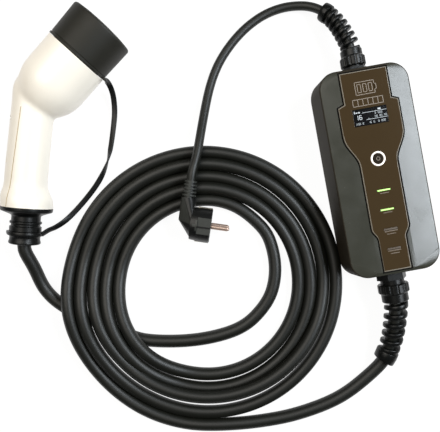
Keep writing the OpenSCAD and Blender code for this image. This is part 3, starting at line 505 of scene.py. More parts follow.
def between(table: Sequence[tuple[float, float]], at: float) -> float:
    """Reads a table of places and values by straight lines, with its end values beyond its ends.

    Args:
        table: Places, in rising order, each with its value.
        at: The place asked for.

    Returns:
        The value there.
    """
    if at <= table[0][0]:
        return table[0][1]
    for (a, low), (b, high) in zip(table, table[1:]):
        if at <= b:
            return low + (high - low) * (at - a) / (b - a)
    return table[-1][1]


def smooth_through(p: Sequence[Any], i: int, t: float) -> Any:
    """Reads a smooth curve through points or values.

    Args:
        p: What the curve goes through.
        i: Number of the one before the place asked for.
        t: Share of the way from it to the next.

    Returns:
        The point or value there.
    """
    a, b, c, d = p[max(i - 1, 0)], p[i], p[i + 1], p[min(i + 2, len(p) - 1)]
    return 0.5 * (2 * b + (c - a) * t + (2 * a - 5 * b + 4 * c - d) * t**2 + (3 * b - a - 3 * c + d) * t**3)


def on_top(edge: bmesh.types.BMEdge) -> bool:
    """Tells whether an edge lies between a level face that looks up and an upright one."""
    heights = sorted(face.normal.z for face in edge.link_faces)
    return len(heights) == 2 and abs(heights[0]) < UPRIGHT and heights[1] > LEVEL


def add_bar(bm: bmesh.types.BMesh, place: Matrix, size: Sequence[float]) -> None:
    """Adds a rectangular bar to a shape.

    Args:
        bm: The shape, in millimetres.
        place: The middle of the bar's foot.
        size: Its width, length and height.
    """
    bmesh.ops.create_cube(bm, size=1, matrix=place @ shift(0, 0, size[2] / 2) @ Matrix.Diagonal((*size, 1)))


def take_in(whole: bmesh.types.BMesh, part: bmesh.types.BMesh) -> None:
    """Adds a shape to another and frees it.

    Args:
        whole: The shape that grows.
        part: The shape that it takes in.
    """
    mesh = to_mesh(part, "part")
    whole.from_mesh(mesh)
    bpy.data.meshes.remove(mesh)


def hold(bm: bmesh.types.BMesh, name: str) -> bpy.types.Object:
    """Puts a shape in an object for modifiers to work on, until release takes it out, and frees it."""
    return put(name, to_mesh(bm, name))


def release(holder: bpy.types.Object, *helpers: bpy.types.Object) -> bmesh.types.BMesh:
    """Takes a shape out of its object, with its modifiers applied, and removes the object.

    Args:
        holder: The object.
        helpers: Other objects that its modifiers used, removed too.

    Returns:
        The shape.
    """
    bpy.context.view_layer.update()
    bm = bmesh.new()
    bm.from_object(holder, bpy.context.evaluated_depsgraph_get())
    for used in (holder, *helpers):
        mesh = used.data
        bpy.data.objects.remove(used)
        bpy.data.meshes.remove(mesh)
    return bm


def close_holes(bm: bmesh.types.BMesh) -> None:
    """Fills the open ends of a shape."""
    bmesh.ops.holes_fill(bm, edges=[edge for edge in bm.edges if edge.is_boundary])


def slice_at(bm: bmesh.types.BMesh, at: Vector, across: Vector, drop: bool = False) -> None:
    """Cuts through a shape.

    Args:
        bm: The shape.
        at: A point of the cut.
        across: The direction square to the cut.
        drop: Whether what lies beyond the cut falls away.
    """
    geometry = [*bm.verts, *bm.edges, *bm.faces]
    bmesh.ops.bisect_plane(bm, geom=geometry, plane_co=at, plane_no=across, clear_outer=drop)


def revolve(profile: Sequence[tuple[float, float]], place: Matrix, steps: int = 72) -> bmesh.types.BMesh:
    """Turns a profile about Z.

    Args:
        profile: Radius and height of each point.
        place: Where the turned shape goes.
        steps: Number of steps round the axis.

    Returns:
        The closed shape.
    """
    bm = bmesh.new()
    verts = [bm.verts.new((r, 0, z)) for r, z in profile]
    edges = [bm.edges.new(pair) for pair in zip(verts, verts[1:])]
    bmesh.ops.spin(
        bm, geom=verts + edges, cent=(0, 0, 0), axis=(0, 0, 1), angle=math.tau, steps=steps, use_merge=True
    )
    bmesh.ops.remove_doubles(bm, verts=bm.verts, dist=MERGE)
    bmesh.ops.recalc_face_normals(bm, faces=bm.faces)
    bmesh.ops.transform(bm, matrix=place, verts=bm.verts)
    return bm


class Run:
    """A smooth route through points, known by the length along it."""

    def __init__(self, points: Sequence[Sequence[float]], steps: int = 8) -> None:
        """Lays the route.

        Args:
            points: The points that it goes through, in millimetres.
            steps: Number of steps from one point to the next.
        """
        p = [Vector(q) for q in points]
        self.points: list[Vector] = []
        for i in range(len(p) - 1):
            self.points.extend(smooth_through(p, i, k / steps) for k in range(steps))
        self.points.append(p[-1])
        self.measure()

    def measure(self) -> None:
        """Works out the length along the route at each of its points."""
        self.lengths = [0.0]
        for a, b in zip(self.points, self.points[1:]):
            self.lengths.append(self.lengths[-1] + (b - a).length)

    @property
    def length(self) -> float:
        """The whole length."""
        return self.lengths[-1]

    def at(self, s: float) -> Vector:
        """Finds a point of the route.

        Args:
            s: Length along the route.

        Returns:
            The point there, or the nearest end.
        """
        s = min(max(s, 0.0), self.length)
        high = next(i for i, t in enumerate(self.lengths) if t >= s and i)
        low = high - 1
        share = (s - self.lengths[low]) / max(self.lengths[high] - self.lengths[low], 1e-9)
        return self.points[low].lerp(self.points[high], share)

    def heading(self, s: float) -> Vector:
        """Returns the direction at a length along the route, over a millimetre to each side."""
        return (self.at(s + 1) - self.at(s - 1)).normalized()

    def eased(self, rounds: int) -> "Run":
        """Evens the route out between its fixed ends.

        Args:
            rounds: How often each point moves to the middle of its neighbours.

        Returns:
            The same route.
        """
        for _ in range(rounds):
            p = self.points
            middle = [(a + 2 * b + c) / 4 for a, b, c in zip(p, p[1:], p[2:])]
            self.points = [p[0], *middle, p[-1]]
        self.measure()
        return self


def bend_along(bm: bmesh.types.BMesh, run: Run, start: float) -> None:
    """Bends a straight shape, whose Z is length, round a route.

    Args:
        bm: The shape, changed in place.
        run: The route.
        start: The length along the route where Z is nought.
    """
    for vert in bm.verts:
        s = start + vert.co.z
        ahead = run.heading(s)
        side = ahead.cross(Vector((0, 0, 1))).normalized()
        vert.co = run.at(s) + vert.co.x * side + vert.co.y * ahead.cross(side)


def lay_cord(
    name: str, run: Run, radius: float, finish: Finish, stands_for: Sequence[str]
) -> bpy.types.Object:
    """Lays a round cord along a route.

    Args:
        name: The piece's name.
        run: Its route.
        radius: Its radius.
        finish: Its surface.
        stands_for: The solids that it replaces.

    Returns:
        The curve object.
    """
    curve = bpy.data.curves.new(name, "CURVE")
    curve.dimensions = "3D"
    curve.bevel_depth = radius * MM
    curve.bevel_resolution = CORD_ROUND
    curve.use_fill_caps = True
    spline = curve.splines.new("POLY")
    count = max(2, round(run.length / CORD_STEP))
    spline.points.add(count)
    for i, point in enumerate(spline.points):
        point.co = (*(run.at(run.length * i / count) * MM), 1)
    spline.use_smooth = True
    curve.materials.append(finish.material())
    return settle(put(name, curve), Body.UNIT, stands_for)


# Middle of each bar of a seven-segment figure, in half widths and half heights, and whether it lies flat
SEGMENT_PLACES: dict[str, tuple[float, float, bool]] = {
    "a": (0, 1, True), "b": (1, 0.5, False), "c": (1, -0.5, False), "d": (0, -1, True),
    "e": (-1, -0.5, False), "f": (-1, 0.5, False), "g": (0, 0, True),
}
# The bars that are lit in each figure that the display shows
FIGURE_SEGMENTS: dict[str, str] = {
    "0": "abcdef", "1": "bc", "2": "abged", "3": "abgcd", "6": "afgedc", " ": "",
}


@dataclass
class ControlBox:
    """The control box: its shells, panel, display and print, and the places of its two glands."""

    length: float = 209.5
    gland_height: float = 24.0
    turned: float = 10.2
    panel_top: float = 50.0
    # Heights between which the recess round the panel lies, and the upward part of its floor's normal
    groove_span: tuple[float, float] = (48.2, 49.4)
    groove_level: float = 0.9999
    groove_lip: float = 0.6
    # Faces whose normals point up by more than this belong to the top
    top_level: float = 0.95
    # Width of the rounding on the panel's outline that carries the painted highlight
    highlight_rim_width: float = 0.9
    lamp_edge: float = 0.35
    # Past these the panel's edges are its outline's, nearer the middle they are an opening's
    panel_ends: float = 88.0
    window_half: float = 20.0
    end_wall: float = 0.2
    window_along: float = 54.0
    window_rise: float = -0.21
    button_along: float = 11.5
    button_rise: float = 0.09
    mark_radii: tuple[float, float] = (1.5, 1.9)
    ink: float = 0.06
    # Shares of a figure's height
    figure_stroke: float = 0.11
    figure_width: float = 0.5
    figure_pitch: float = 0.82
    # Rows of figures: digits, left end across the panel, middle along it from the window's, height
    display_rows: tuple[tuple[str, float, float, float], ...] = (
        ("16", -15.5, 0.2, 4.6), ("230 0", -15.2, -5.9, 1.9), ("16 0", -2.8, -5.9, 1.9),
        ("0 000", 6.6, -5.9, 1.9), ("0 000", 4.5, 2.4, 1.9), ("00 00 00", 4.0, -0.8, 1.9),
    )
    # Rules and signs of the display: middle across, middle along from the window's, width and height
    display_bars: tuple[tuple[float, float, float, float], ...] = (
        (4.4, 4.3, 24.5, 0.35), (6.2, -2.9, 21.0, 0.35), (9.6, 6.0, 2.8, 1.5), (-15.2, 5.6, 0.7, 2.6),
        (-13.2, 5.2, 2.0, 1.0), (-10.6, 5.2, 1.6, 1.4), (-1.9, -1.9, 0.6, 0.6),
    )
    print_line: float = 0.6
    # Outlined boxes of the print: middle across and along the panel, width, height and number of cells
    print_boxes: tuple[tuple[float, float, float, float, int], ...] = (
        (-0.8, 82.5, 19.0, 12.5, 1), (9.6, 82.5, 1.8, 5.0, 1), (-6.4, 82.5, 3.4, 8.0, 1),
        (-0.8, 82.5, 3.4, 8.0, 1), (4.8, 82.5, 3.4, 8.0, 1), (0, 68.6, 30.0, 6.6, 6),
    )
    # Rows of small marks: middle along the panel, number of marks and their height
    print_rows: tuple[tuple[float, int, float], ...] = (
        (-22.8, 9, 0.7), (-42.2, 9, 0.7), (-60.7, 13, 0.95), (-63.4, 9, 0.75), (-80.1, 13, 0.95),
        (-82.8, 9, 0.75),
    )
    mark_pitch: float = 1.0
    mark_width: float = 0.55

    def place(self) -> Matrix:
        """Returns where the box lies."""
        return turn(self.turned, "Z")

    def gland_point(self, side: int, reach: float) -> Vector:
        """Returns a point on a gland's axis, a reach beyond the box's end."""
        return self.place() @ Vector((0, side * (self.length / 2 + reach), self.gland_height))

    def on_panel(self, across: float, along: float, height: float = 0.0) -> Matrix:
        """Returns a place on the panel's face, from the box's middle."""
        return self.place() @ shift(across, along, self.panel_top + height)

    def in_groove(self, middle: Vector, normal: Vector) -> bool:
        """Tells whether a face of the housing lies in the recess round the panel."""
        low, high = self.groove_span
        return low < middle.z < high and (normal.z > self.groove_level or abs(normal.z) < UPRIGHT)

    def on_side(self, middle: Vector, normal: Vector) -> bool:
        """Tells whether a face of the housing belongs to its outer side or to the chamfer above it."""
        outward = normal.dot(middle) > 0
        return outward and abs(normal.z) < self.top_level and middle.z < self.groove_span[0]

    def on_lip(self, edge: bmesh.types.BMEdge) -> bool:
        """Tells whether an edge of the housing is the lip of the recess round the panel."""
        return {face.material_index for face in edge.link_faces} == {0, 1}

    def on_outline(self, edge: bmesh.types.BMEdge) -> bool:
        """Tells whether an edge is the upper one of the panel's outline, and not of an opening in it.

        Args:
            edge: An edge of the panel.

        Returns:
            Whether it belongs to the outline.
        """
        if not on_top(edge):
            return False
        own_frame = self.place().inverted()
        middle = own_frame @ ((edge.verts[0].co + edge.verts[1].co) / 2)
        upright = min((face.normal for face in edge.link_faces), key=lambda normal: abs(normal.z))
        wall = own_frame.to_3x3() @ upright
        if abs(wall.x) < self.end_wall:
            return abs(middle.y) > self.panel_ends or abs(middle.x) > self.window_half
        return middle.x * wall.x > 0

    def round_edges(self) -> None:
        """Rounds the edges of the shells, the panel and what is set in it."""
        # The housing's sides carry a painted warm reflection
        soften(
            "front_housing", 0.5, HOUSING_ABS,
            # Painted shade: the recess round the panel and the rounded lip of it are drawn near black
            patches=((GROOVE_PAINTED_SHADE, self.in_groove), (SIDE_ABS_PAINTED_REFLECTION, self.on_side)),
            rims=((GROOVE_PAINTED_SHADE, self.groove_lip, self.on_lip),),
        )
        # The rear cover takes the sides' painted warm reflection
        soften("rear_cover", 0.8, SIDE_ABS_PAINTED_REFLECTION)
        # The panel's outline is rounded and takes a painted highlight
        outline = ((PANEL_EDGE_PAINTED_HIGHLIGHT, self.highlight_rim_width, self.on_outline),)
        soften("front_panel", 0.3, PANEL_FILM, rims=outline)
        soften("display_window", 0.15, WINDOW_ACRYLIC)
        soften("button_ring", 0.3, RING_OPAL)
        soften("mode_button", 0.5, BUTTON_ABS, Body.BUTTON)
        soften("charge_lamps", 0.1, LAMP_LIT, rims=((LAMP_EDGE, self.lamp_edge, on_top),))
        soften("status_lamps", 0.3, LAMP_DARK)
        for end in ("mains", "vehicle"):
            for part in ("gland_body", "gland_nut"):
                soften(f"{end}_{part}", 0.35, GLAND_NYLON, segments=2)

    def write_row(
        self, bm: bmesh.types.BMesh, figures: str, across: float, along: float, tall: float
    ) -> None:
        """Writes a row of figures in seven-segment bars, from its left end.

        Args:
            bm: The shape that the bars join.
            figures: Digits, with blanks between them.
            across: The left end of the row, across the panel.
            along: Its middle, along the panel.
            tall: Height of the figures.
        """
        stroke, wide = tall * self.figure_stroke, tall * self.figure_width
        for i, figure in enumerate(figures):
            middle = across + (i + 0.5) * tall * self.figure_pitch
            for segment in FIGURE_SEGMENTS[figure]:
                x, y, flat = SEGMENT_PLACES[segment]
                size = (wide, stroke) if flat else (stroke, tall / 2)
                spot = (middle + x * wide / 2, along + y * (tall - stroke) / 2, self.window_rise)
                add_bar(bm, self.on_panel(*spot), (*size, self.ink))

    def show_figures(self) -> None:
        """Lights the display: two rules, some signs, a large number and rows of small ones."""
        bm = bmesh.new()
        middle = self.window_along
        for figures, across, along, tall in self.display_rows:
            self.write_row(bm, figures, across, middle + along, tall)
        for across, along, wide, high in self.display_bars:
            add_bar(bm, self.on_panel(across, middle + along, self.window_rise), (wide, high, self.ink))
        write_piece("display_figures", bm, FIGURES_LIT, Body.UNIT)

    def print_panel(self) -> None:
        """Prints the panel: a battery over a row of cells, in outline, and small marks by the lamps."""
        bm = bmesh.new()
        line = self.print_line
        for across, along, wide, high, cells in self.print_boxes:
            for end in (-1, 1):
                add_bar(bm, self.on_panel(across, along + end * high / 2), (wide + line, line, self.ink))
            for i in range(cells + 1):
                add_bar(bm, self.on_panel(across + wide * (i / cells - 0.5), along), (line, high, self.ink))
        for along, marks, high in self.print_rows:
            for i in range(marks):
                across = (i - (marks - 1) / 2) * self.mark_pitch
                add_bar(bm, self.on_panel(across, along), (self.mark_width, high, self.ink))
        write_piece("panel_print", bm, PRINT_INK, Body.UNIT)
        inner, outer = self.mark_radii
        mark = revolve(
            ((inner, 0), (outer, 0), (outer, self.ink), (inner, self.ink), (inner, 0)),
            self.on_panel(0, self.button_along, self.button_rise), steps=32,
        )
        write_piece("button_mark", mark, PRINT_INK, Body.BUTTON)

    def build(self) -> None:
        """Builds the box's visible pieces."""
        self.round_edges()
        self.show_figures()
        self.print_panel()


@dataclass
class Connector:
    """The vehicle connector: its white shell, boot and cap, and the strap between them."""

    foot: tuple[float, float, float] = (-356.4, -36.0, 26.4)
    turned: float = -5.0
    tilt: float = 3.3265
    bend: float = 37.0
    handle_length: float = 102.5
    head_reach: float = 67.0
    head_radius: float = 33.6
    barrel_length: float = 33.5
    dome_length: float = 38.5
    handle_radius: float = 20.8
    handle_over: float = 15.5
    foot_radius: float = 26.1
    foot_flat: float = 6.0
    foot_flare: float = 18.0
    # Steps round the forms, up a dome or a flare, and along the shaft
    round_steps: int = 96
    dome_steps: int = 16
    end_steps: int = 12
    shaft_steps: int = 24
    # Heights on the handle, and how far its back is bowed there; its front bows by a share of that
    handle_bow: tuple[tuple[float, float], ...] = (
        (0, 0.8), (6, -0.4), (12, -1.8), (20, -2.8), (32, -3.0), (55, -2.1), (82, -1.0), (105, 0),
    )
    front_bow: float = 0.67
    boot_radius: float = 15.8
    tether_at: float = -27.0
    ring_height: float = 4.0
    # How far the forms run on past their ends before they are cut
    spare: float = 8.0
    skin_step: float = 1.3
    easing: int = 26
    seam_at: float = -12.4
    seam_lean: float = 4.3
    seam_half: float = 0.5
    seam_depth: float = 0.55
    seam_span: tuple[float, float] = (0.5, 100.0)
    # Points nearer the seam's middle than this are on it
    on_seam: float = 0.02
    screw_along: tuple[float, ...] = (46.0, 88.0)
    screw_aside: float = 10.0
    screw_seat: float = 15.0
    screw_reach: float = 12.0
    screw_hole: float = 3.2
    # The ring's grip on the boot, its wall, and its rounding, inwards from its outside and from its ends
    ring_bite: float = 1.1
    ring_wall: float = 2.0
    ring_round: tuple[tuple[float, float], ...] = ((0.6, 0), (0.15, 0.25), (0, 0.7))
    # A nub on the ring's far side: how far out its middle lies, its radius and its length
    nub_out: float = 1.8
    nub_radius: float = 1.6
    nub_length: float = 3.0
    # Where the strap starts, out from the boot, and ends, out from the head and beyond its mouth
    strap_root: float = 1.6
    lug_reach: float = 1.2
    lug_beyond: float = 1.8
    strap_width: float = 5.8
    strap_thickness: float = 2.0
    strap_round: float = 0.5
    strap_cuts: int = 80
    path_steps: int = 60
    strap_way: tuple[tuple[float, float, float], ...] = (
        (-335.9, -59.8, 20), (-330, -56.8, 15), (-319.7, -48.2, 8), (-304.1, -30.4, 4.2),
        (-289.2, -10.8, 4), (-280, 7.6, 4), (-275.2, 26.4, 4), (-271.6, 51.8, 4.4), (-270.2, 68.3, 6),
        (-271.1, 84, 11), (-274.2, 93.5, 18),
    )
    # Shares of the strap's length, and how far it is turned there, nought lying flat
    strap_twist: tuple[tuple[float, float], ...] = (
        (0, 66), (0.08, 50), (0.2, 14), (0.4, 25), (0.5, 90), (0.58, 150), (0.75, 178), (1, 180),
    )

    def place(self) -> Matrix:
        """Returns where the connector lies, its handle along Y."""
        return shift(*self.foot) @ turn(self.turned, "Z") @ turn(self.tilt, "X")

    def head_place(self) -> Matrix:
        """Returns where the head sits on the connector, its Z out of the mouth."""
        return shift(0, self.handle_length, 0) @ turn(-self.bend, "Z") @ turn(-90, "X")

    def point(self, x: float, y: float, z: float) -> Vector:
        """Returns a point of the connector as it lies."""
        return self.place() @ Vector((x, y, z))

    def head_form(self) -> bmesh.types.BMesh:
        """Builds the head: a barrel with a domed back, left long at its mouth.

        Returns:
            The head, in the connector's own frame.
        """
        dome = [math.pi / 2 * i / self.dome_steps for i in range(self.dome_steps + 1)]
        start = self.head_reach - self.barrel_length
        profile = [(self.head_radius * math.sin(a), start - self.dome_length * math.cos(a)) for a in dome]
        end = self.head_reach + self.spare
        profile += [(self.head_radius, end), (0, end)]
        return revolve(profile, self.head_place(), self.round_steps)

    def handle_form(self) -> bmesh.types.BMesh:
        """Builds the handle: flared and left long at its foot, round at its top.

        Returns:
            The handle, in the connector's own frame.
        """
        flare = [i / self.end_steps for i in range(self.end_steps + 1)]
        fall = self.foot_radius - self.handle_radius
        profile = [(0, -self.spare), (self.foot_radius, -self.spare)]
        profile += [
            (self.foot_radius - fall * (1 - math.cos(math.pi * f)) / 2, self.foot_flat + f * self.foot_flare)
            for f in flare
        ]
        top, waist = self.handle_length + self.handle_over, self.foot_flat + self.foot_flare
        steps = self.shaft_steps
        profile += [(self.handle_radius, waist + (top - waist) * i / steps) for i in range(1, steps)]
        dome = [math.pi / 2 * f for f in flare]
        profile += [(self.handle_radius * math.cos(a), top + self.handle_radius * math.sin(a)) for a in dome]
        bm = revolve(profile, turn(-90, "X"), self.round_steps)
        for vert in bm.verts:
            bow = between(self.handle_bow, vert.co.y)
            vert.co.x += bow if vert.co.x < 0 else bow * self.front_bow
        return bm

    def grown_together(self) -> bmesh.types.BMesh:
        """Grows head and handle into one skin and eases the crease between them.

        Returns:
            The skin, in the connector's own frame.
        """
        whole = bmesh.new()
        for form in (self.head_form(), self.handle_form()):
            take_in(whole, form)
        holder = hold(whole, "connector_rough")
        remesh = holder.modifiers.new("one skin", "REMESH")
        remesh.mode = "VOXEL"
        remesh.voxel_size = self.skin_step
        bm = release(holder)
        for _ in range(self.easing):
            bmesh.ops.smooth_vert(
                bm, verts=bm.verts, factor=0.5, use_axis_x=True, use_axis_y=True, use_axis_z=True
            )
        return bm

    def scribe_seam(self, bm: bmesh.types.BMesh) -> None:
        """Presses the seam of the two shells into the handle, and marks its faces for the painted shade in
        it.

        Args:
            bm: The skin, in the connector's own frame.
        """
        lean = turn(-self.seam_lean, "Z")
        across = lean @ Vector((1, 0, 0))
        foot = Vector((self.seam_at, 0, 0))
        for offset in (-self.seam_half, 0, self.seam_half):
            slice_at(bm, foot + offset * across, across)
        bm.normal_update()
        low, high = self.seam_span
        for vert in bm.verts:
            if abs((vert.co - foot).dot(across)) < self.on_seam and low < vert.co.y < high:
                vert.co -= vert.normal * self.seam_depth
        # Faces in the seam take the painted shade
        for face in bm.faces:
            middle = face.calc_center_median()
            in_seam = abs((middle - foot).dot(across)) < self.seam_half and low < middle.y < high
            face.material_index = int(in_seam)

    def sink_screws(self, bm: bmesh.types.BMesh) -> bmesh.types.BMesh:
        """Sinks the holes of the handle's screws into its back.

        Args:
            bm: The skin, in the connector's own frame. It is freed.

        Returns:
            The skin with its holes.
        """
        drill = bmesh.new()
        for y in self.screw_along:
            for z in (-self.screw_aside, self.screw_aside):
                place = shift(-self.screw_seat - self.screw_reach / 2, y, z) @ turn(90, "Y")
                bmesh.ops.create_cone(
                    drill, cap_ends=True, segments=40, radius1=self.screw_hole, radius2=self.screw_hole,
                    depth=self.screw_reach, matrix=place,
                )
        holder, cutter = hold(bm, "connector_whole"), hold(drill, "connector_drill")
        cut = holder.modifiers.new("screw holes", "BOOLEAN")
        cut.operation = "DIFFERENCE"
        cut.object = cutter
        return release(holder, cutter)

    def shell(self) -> None:
        """Builds the white shell with its seam and the holes of its screws."""
        bm = self.grown_together()
        mouth = self.head_place()
        ends = (
            (mouth @ Vector((0, 0, self.head_reach)), mouth.to_3x3() @ Vector((0, 0, 1))),
            (Vector((0, 0, 0)), Vector((0, -1, 0))),
        )
        for at, out in ends:
            slice_at(bm, at, out, drop=True)
            close_holes(bm)
        bm = self.sink_screws(bm)
        self.scribe_seam(bm)
        bmesh.ops.recalc_face_normals(bm, faces=bm.faces)
        bmesh.ops.transform(bm, matrix=self.place(), verts=bm.verts)
        replaced = ("connector_shell", "handle_back")
        skin = write_piece(
            "connector_skin", bm, SHELL_WHITE, Body.UNIT, replaced, smooth_to=40.0
        )
        # The seam's faces take the painted shade
        skin.data.materials.append(SEAM_PAINTED_SHADE.material())

    def strap_run(self) -> Run:
        """Lays out the strap's route, from its ring to the cap's lug.

        Returns:
            The route.
        """
        start = self.point(self.boot_radius + self.strap_root, self.tether_at, 0)
        lug = Vector((self.head_radius + self.lug_reach, 0, self.head_reach + self.lug_beyond))
        end = self.place() @ self.head_place() @ lug
        return Run([start, *self.strap_way, end]).eased(rounds=6)

    @staticmethod
    def long_edges(bm: bmesh.types.BMesh) -> list[bmesh.types.BMEdge]:
        """Returns the edges of a straight strap that run along it."""
        return [edge for edge in bm.edges if abs(edge.verts[0].co.z - edge.verts[1].co.z) > 1]

    def strap(self) -> None:
        run = self.strap_run()
        bm = bmesh.new()
        size = Matrix.Diagonal((self.strap_width, self.strap_thickness, run.length, 1))
        bmesh.ops.create_cube(bm, size=1, matrix=shift(0, 0, run.length / 2) @ size)
        bmesh.ops.bevel(
            bm, geom=self.long_edges(bm), offset=self.strap_round, offset_type="OFFSET", affect="EDGES",
            segments=2, profile=0.5, material=-1,
        )
        bmesh.ops.subdivide_edges(bm, edges=self.long_edges(bm), cuts=self.strap_cuts, use_grid_fill=True)
        for vert in bm.verts:
            vert.co = turn(between(self.strap_twist, vert.co.z / run.length), "Z") @ vert.co
        bend_along(bm, run, 0)
        strap = write_piece(
            "tether_strap", bm, BOOT_RUBBER, None, ("cap_tether",), smooth_to=50.0
        )
        count = self.path_steps
        path = [run.at(run.length * i / count) * MM for i in range(count + 1)]
        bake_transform(strap)

    def ring(self) -> None:
        """Puts the strap's ring on the boot."""
        half = self.ring_height / 2
        inner, outer = self.boot_radius - self.ring_bite, self.boot_radius + self.ring_wall
        low = [(outer - inwards, up - half) for inwards, up in self.ring_round]
        high = [(r, -z) for r, z in reversed(low)]
        place = self.place() @ shift(0, self.tether_at, 0) @ turn(-90, "X")
        bm = revolve([(inner, -half), *low, *high, (inner, half), (inner, -half)], place)
        nub = self.place() @ shift(-self.boot_radius - self.nub_out, self.tether_at, 0) @ turn(90, "Y")
        bmesh.ops.create_cone(
            bm, cap_ends=True, segments=24, radius1=self.nub_radius, radius2=self.nub_radius,
            depth=self.nub_length, matrix=nub,
        )
        write_piece("tether_ring", bm, BOOT_RUBBER, Body.UNIT, ("cap_tether",))

    def build(self) -> None:
        """Builds the connector's visible pieces."""
        self.shell()
        self.strap()
        self.ring()
        soften("cable_boot", 0.35, BOOT_RUBBER, segments=2)
        soften("protective_cap", 0.35, CAP_RUBBER, Body.CAP, segments=2)


@dataclass
class Plug:
    """The angled mains plug with its ribbed neck."""

    at: tuple[float, float, float] = (-167.0, -55.4, 22.2)
    roll: float = 5.0
    turned: float = -8.0
    hub: float = -26.8
    neck_low: float = 26.0
    neck_top: float = 43.5
    rib_count: int = 5
    rib_radius: float = 7.3
    rib_taper: float = 0.2
    rib_width: float = 2.0
    rib_round: float = 0.4
    core_radius: float = 4.9
    spine_width: float = 2.4
    spine_height: float = 1.9
    spine_bite: float = 0.3
    # Ends of what is drawn paler on the hub and on the disc, whose slot stays dark
    hub_front: float = -25.5
    pad_back: float = -17.0
    slot_at: float = -1.6
    slot_half: float = 0.4
    # How far up a face has to look to be drawn paler
    pale_hub: float = 0.3
    pale_disc: float = 0.93

    def place(self) -> Matrix:
        """Returns where the plug lies, its pins along X and its neck along Y."""
        return shift(*self.at) @ turn(self.turned, "Z") @ turn(self.roll, "X")

    def neck_point(self, y: float) -> Vector:
        """Returns a point on the neck's axis."""
        return self.place() @ Vector((self.hub, y, 0))

    def faces_up(self, middle: Vector, normal: Vector) -> bool:
        """Tells whether a face of the plug lies on top, where it is drawn paler grey.

        Args:
            middle: The face's middle.
            normal: Its normal.

        Returns:
            Whether it is drawn paler grey.
        """
        spot = self.place().inverted() @ middle
        upward = (self.place().to_3x3().inverted() @ normal).z
        if spot.x < self.hub_front:
            return upward > self.pale_hub
        beside_slot = abs(spot.y - self.slot_at) > self.slot_half
        return beside_slot and spot.x > self.pad_back and upward > self.pale_disc

    def ribs(self) -> bpy.types.Object:
        """Builds the neck's ribs with the spines that join them.

        Returns:
            The piece.
        """
        bm = bmesh.new()
        length = self.neck_top - self.neck_low
        pitch = length / self.rib_count
        inner, wide, curve = self.core_radius, self.rib_width, self.rib_round
        for i in range(self.rib_count):
            outer = self.rib_radius - self.rib_taper * i
            y = self.neck_low + i * pitch + pitch - wide
            profile = (
                (inner, 0), (outer - curve, 0), (outer, curve), (outer, wide - curve), (outer - curve, wide),
                (inner, wide), (inner, 0),
            )
            take_in(bm, revolve(profile, self.place() @ shift(self.hub, y, 0) @ turn(-90, "X"), steps=40))
        middle = self.place() @ shift(self.hub, self.neck_low + length / 2, 0)
        for side in (0, 180):
            foot = middle @ turn(side, "Y") @ shift(0, 0, inner - self.spine_bite)
            add_bar(bm, foot, (self.spine_width, length, self.spine_height))
        return write_piece("plug_neck_ribs", bm, PLUG_PALE_GREY, Body.UNIT)

    def build(self) -> list[bpy.types.Object]:
        """Builds the plug's visible pieces.

        Returns:
            The pieces that go with the lead.
        """
        # The plug's faces that look up are drawn paler grey
        body = soften(
            "plug_body", 0.4, PLUG_PVC, segments=2, patches=((PLUG_PALE_GREY, self.faces_up),)
        )
        pins = soften("plug_pins", 0.2, PIN_NICKEL, segments=2)
        return [body, pins, self.ribs(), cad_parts["plug_earth_clips"]]


